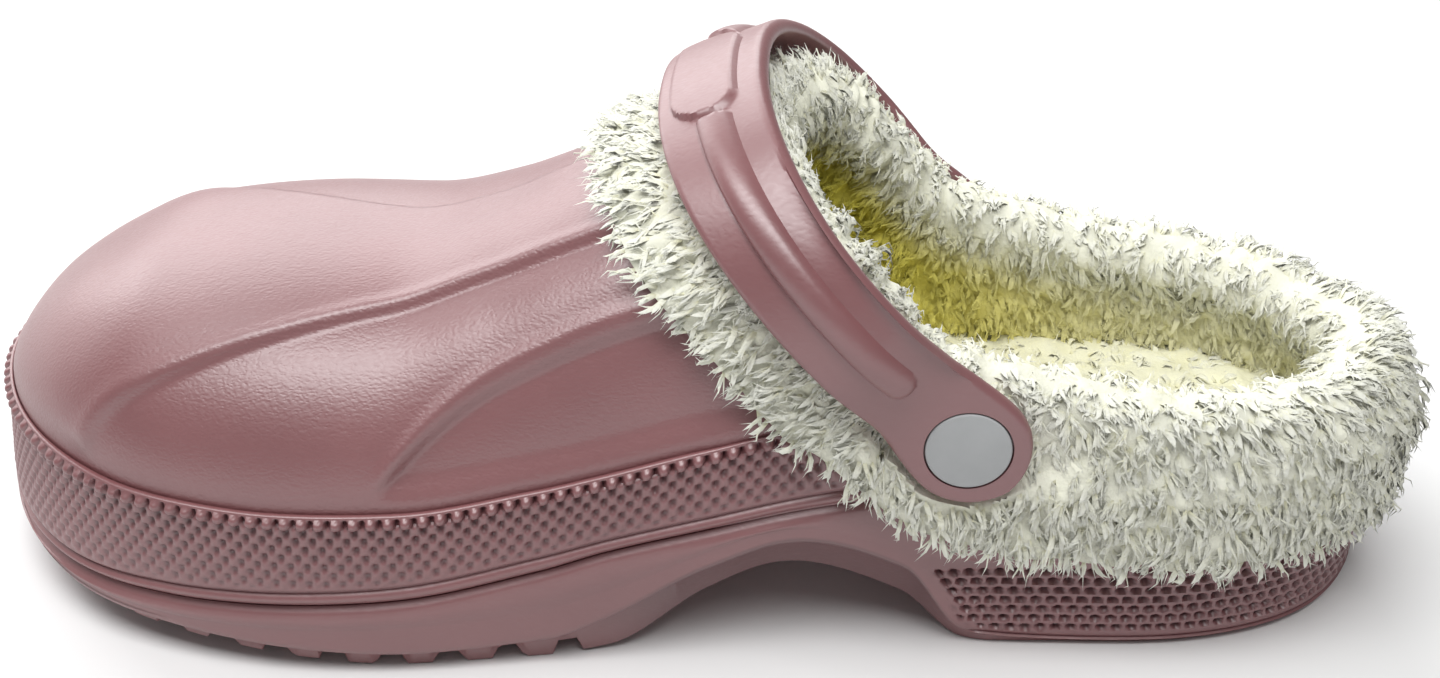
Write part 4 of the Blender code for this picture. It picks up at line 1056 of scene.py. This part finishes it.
past_rib = np.maximum(from_top - rib_end + RIB_HALF_WIDTH, 0)[:, None]
rib_far = np.hypot(past_rib, w - RIB_MIDDLE) / RIB_HALF_WIDTH
rib = RIB_RAISE * np.sqrt(np.maximum(1 - rib_far**2, 0)) * ramp(-pad_inside, RIB_GAP, RIB_GAP + PAD_SLOPE)
on_arm = (ramp(reach, *FLANGE_FROM) * (1 - ramp(reach, *FLANGE_TO)))[:, None]
sunk = FLANGE_SINK * ramp(w, *FLANGE_SPAN) * on_arm
o = out * STRAP_THICK / 2 + np.where(is_face, np.maximum(pad, rib) - sunk, 0)
lean = math.radians(STRAP_LEAN)
arm_way = np.array([-math.cos(lean), 0, math.sin(lean)])
width_way = np.array([math.sin(lean), 0, math.cos(lean)])
sideways = np.array([0.0, 1.0, 0.0])
middle = arm_way * reach[:, None] + sideways * path[:, :1]
out_way = arm_way * outward[:, 1:] + sideways * outward[:, :1]
band_way = width_way - arm_way * STRAP_TILT * ramp(reach, STRAP_SHOULDER, STRAP_REACH)[:, None]
strap_rings = PIVOT + middle[:, None] + band_way[:, None] * w[..., None] + out_way[:, None] * o[..., None]
ends = [np.arange(len(across))[None, ::-1], np.arange(len(across))[None] + (len(path) - 1) * len(across)]
strap = make_piece("strap", strap_rings.reshape(-1, 3), quads(len(path), len(across)), *ends)
seal(strap, 40)

RIVET_RADIUS, RIVET_HEAD, RIVET_PROUD, RIVET_DOME, RIVET_EDGE = 7.4, 1.3, 0.2, 0.5, 0.4
SHANK_RADIUS, CLINCH_RADIUS, CLINCH_THICK, CLINCH_SEAT = 4.0, 6.0, 1.2, 33.2


def turned(name, profile, sign, sides_count=96):
    """A turned piece: a profile of radius and height carried round the rivets' axis, with its height
    along +Y or -Y. The profile begins and ends on the axis."""
    radius, height = np.array(profile).T
    angle = 2 * math.pi * np.arange(sides_count) / sides_count
    ring = np.stack([np.cos(angle), 0 * angle, np.sin(angle)], axis=-1)
    points = PIVOT + radius[:, None, None] * ring + sign * height[:, None, None] * sideways
    return seal(make_piece(name, points.reshape(-1, 3), quads(len(profile), sides_count)), 35)


face_out = STRAP_HALF_SPAN + STRAP_THICK / 2
head_bore, shank_bore, BORE_PLAY = RIVET_RADIUS + GAP, SHANK_RADIUS + GAP, 0.1
bore_top, bore_step, bore_end = face_out + 3, face_out - RIVET_HEAD - BORE_PLAY, face_out - 8
BORE = (
    (0, bore_top), (head_bore, bore_top), (head_bore, bore_step), (shank_bore, bore_step),
    (shank_bore, bore_end), (0, bore_end),
)
cutters = [turned("bore_outer", BORE, -1), turned("bore_inner", BORE, 1)]
for cutter in cutters:
    bore = strap.modifiers.new(cutter.name, "BOOLEAN")
    bore.operation = "DIFFERENCE"
    bore.solver = "EXACT"
    bore.object = cutter
bpy.context.view_layer.update()
bored = bpy.data.meshes.new_from_object(strap.evaluated_get(bpy.context.evaluated_depsgraph_get()))
strap.modifiers.clear()
strap.data = bored
for cutter in cutters:
    bpy.data.objects.remove(cutter)
strap.data.shade_smooth()
strap.data.set_sharp_from_angle(angle=math.radians(40))
strap.data.materials.clear()
strap.data.materials.append(smooth_foam)
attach(strap, "strap")
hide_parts("heel_strap")

# Rivets
# Hard plastic press buttons with a low blank dome, let into the strap's heads. Their shanks pass
# through strap and wall to a clinch flange inside.
rivet_top = face_out + RIVET_PROUD
dome_radius = np.linspace(0, 1, 12)
rivet_profile = [
    *zip(dome_radius * (RIVET_RADIUS - RIVET_EDGE), rivet_top + RIVET_DOME * (1 - dome_radius**2)),
    *[(RIVET_RADIUS - RIVET_EDGE + RIVET_EDGE * math.sin(t), rivet_top - RIVET_EDGE * (1 - math.cos(t)))
      for t in np.linspace(0.25, math.pi / 2, 5)],
    (RIVET_RADIUS, rivet_top - RIVET_HEAD), (SHANK_RADIUS, rivet_top - RIVET_HEAD),
    (SHANK_RADIUS, CLINCH_SEAT), (CLINCH_RADIUS, CLINCH_SEAT), (CLINCH_RADIUS, CLINCH_SEAT - CLINCH_THICK),
    (0, CLINCH_SEAT - CLINCH_THICK),
]
button, tree, shader = new_material("grey_button", Specular_IOR_Level=0.4)
where = add_node(tree, "ShaderNodeTexCoord")
mottle = add_node(tree, "ShaderNodeTexNoise", Scale=260.0, Detail=4.0)
greys = colour_ramp(tree, (0.0, 0.37, 0.38, 0.385), (1.0, 0.43, 0.44, 0.445))
satin = add_node(tree, "ShaderNodeMapRange", To_Min=0.45, To_Max=0.6)
spark = add_node(tree, "ShaderNodeTexNoise", Scale=2600.0, Detail=2.0)
frost = add_node(tree, "ShaderNodeBump", Strength=0.6, Distance=0.00002)
wire(
    tree,
    (where, "Object", mottle, "Vector"), (mottle, "Fac", greys, "Fac"),
    (greys, "Color", shader, "Base Color"), (mottle, "Fac", satin, "Value"),
    (satin, "Result", shader, "Roughness"), (where, "Object", spark, "Vector"),
    (spark, "Fac", frost, "Height"), (frost, "Normal", shader, "Normal"),
)
for name, sign in (("lateral", -1), ("medial", 1)):
    rivet = turned("button_" + name, rivet_profile, sign)
    rivet.data.materials.append(button)
    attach(rivet, "shoe")
    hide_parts("rivet_" + name)
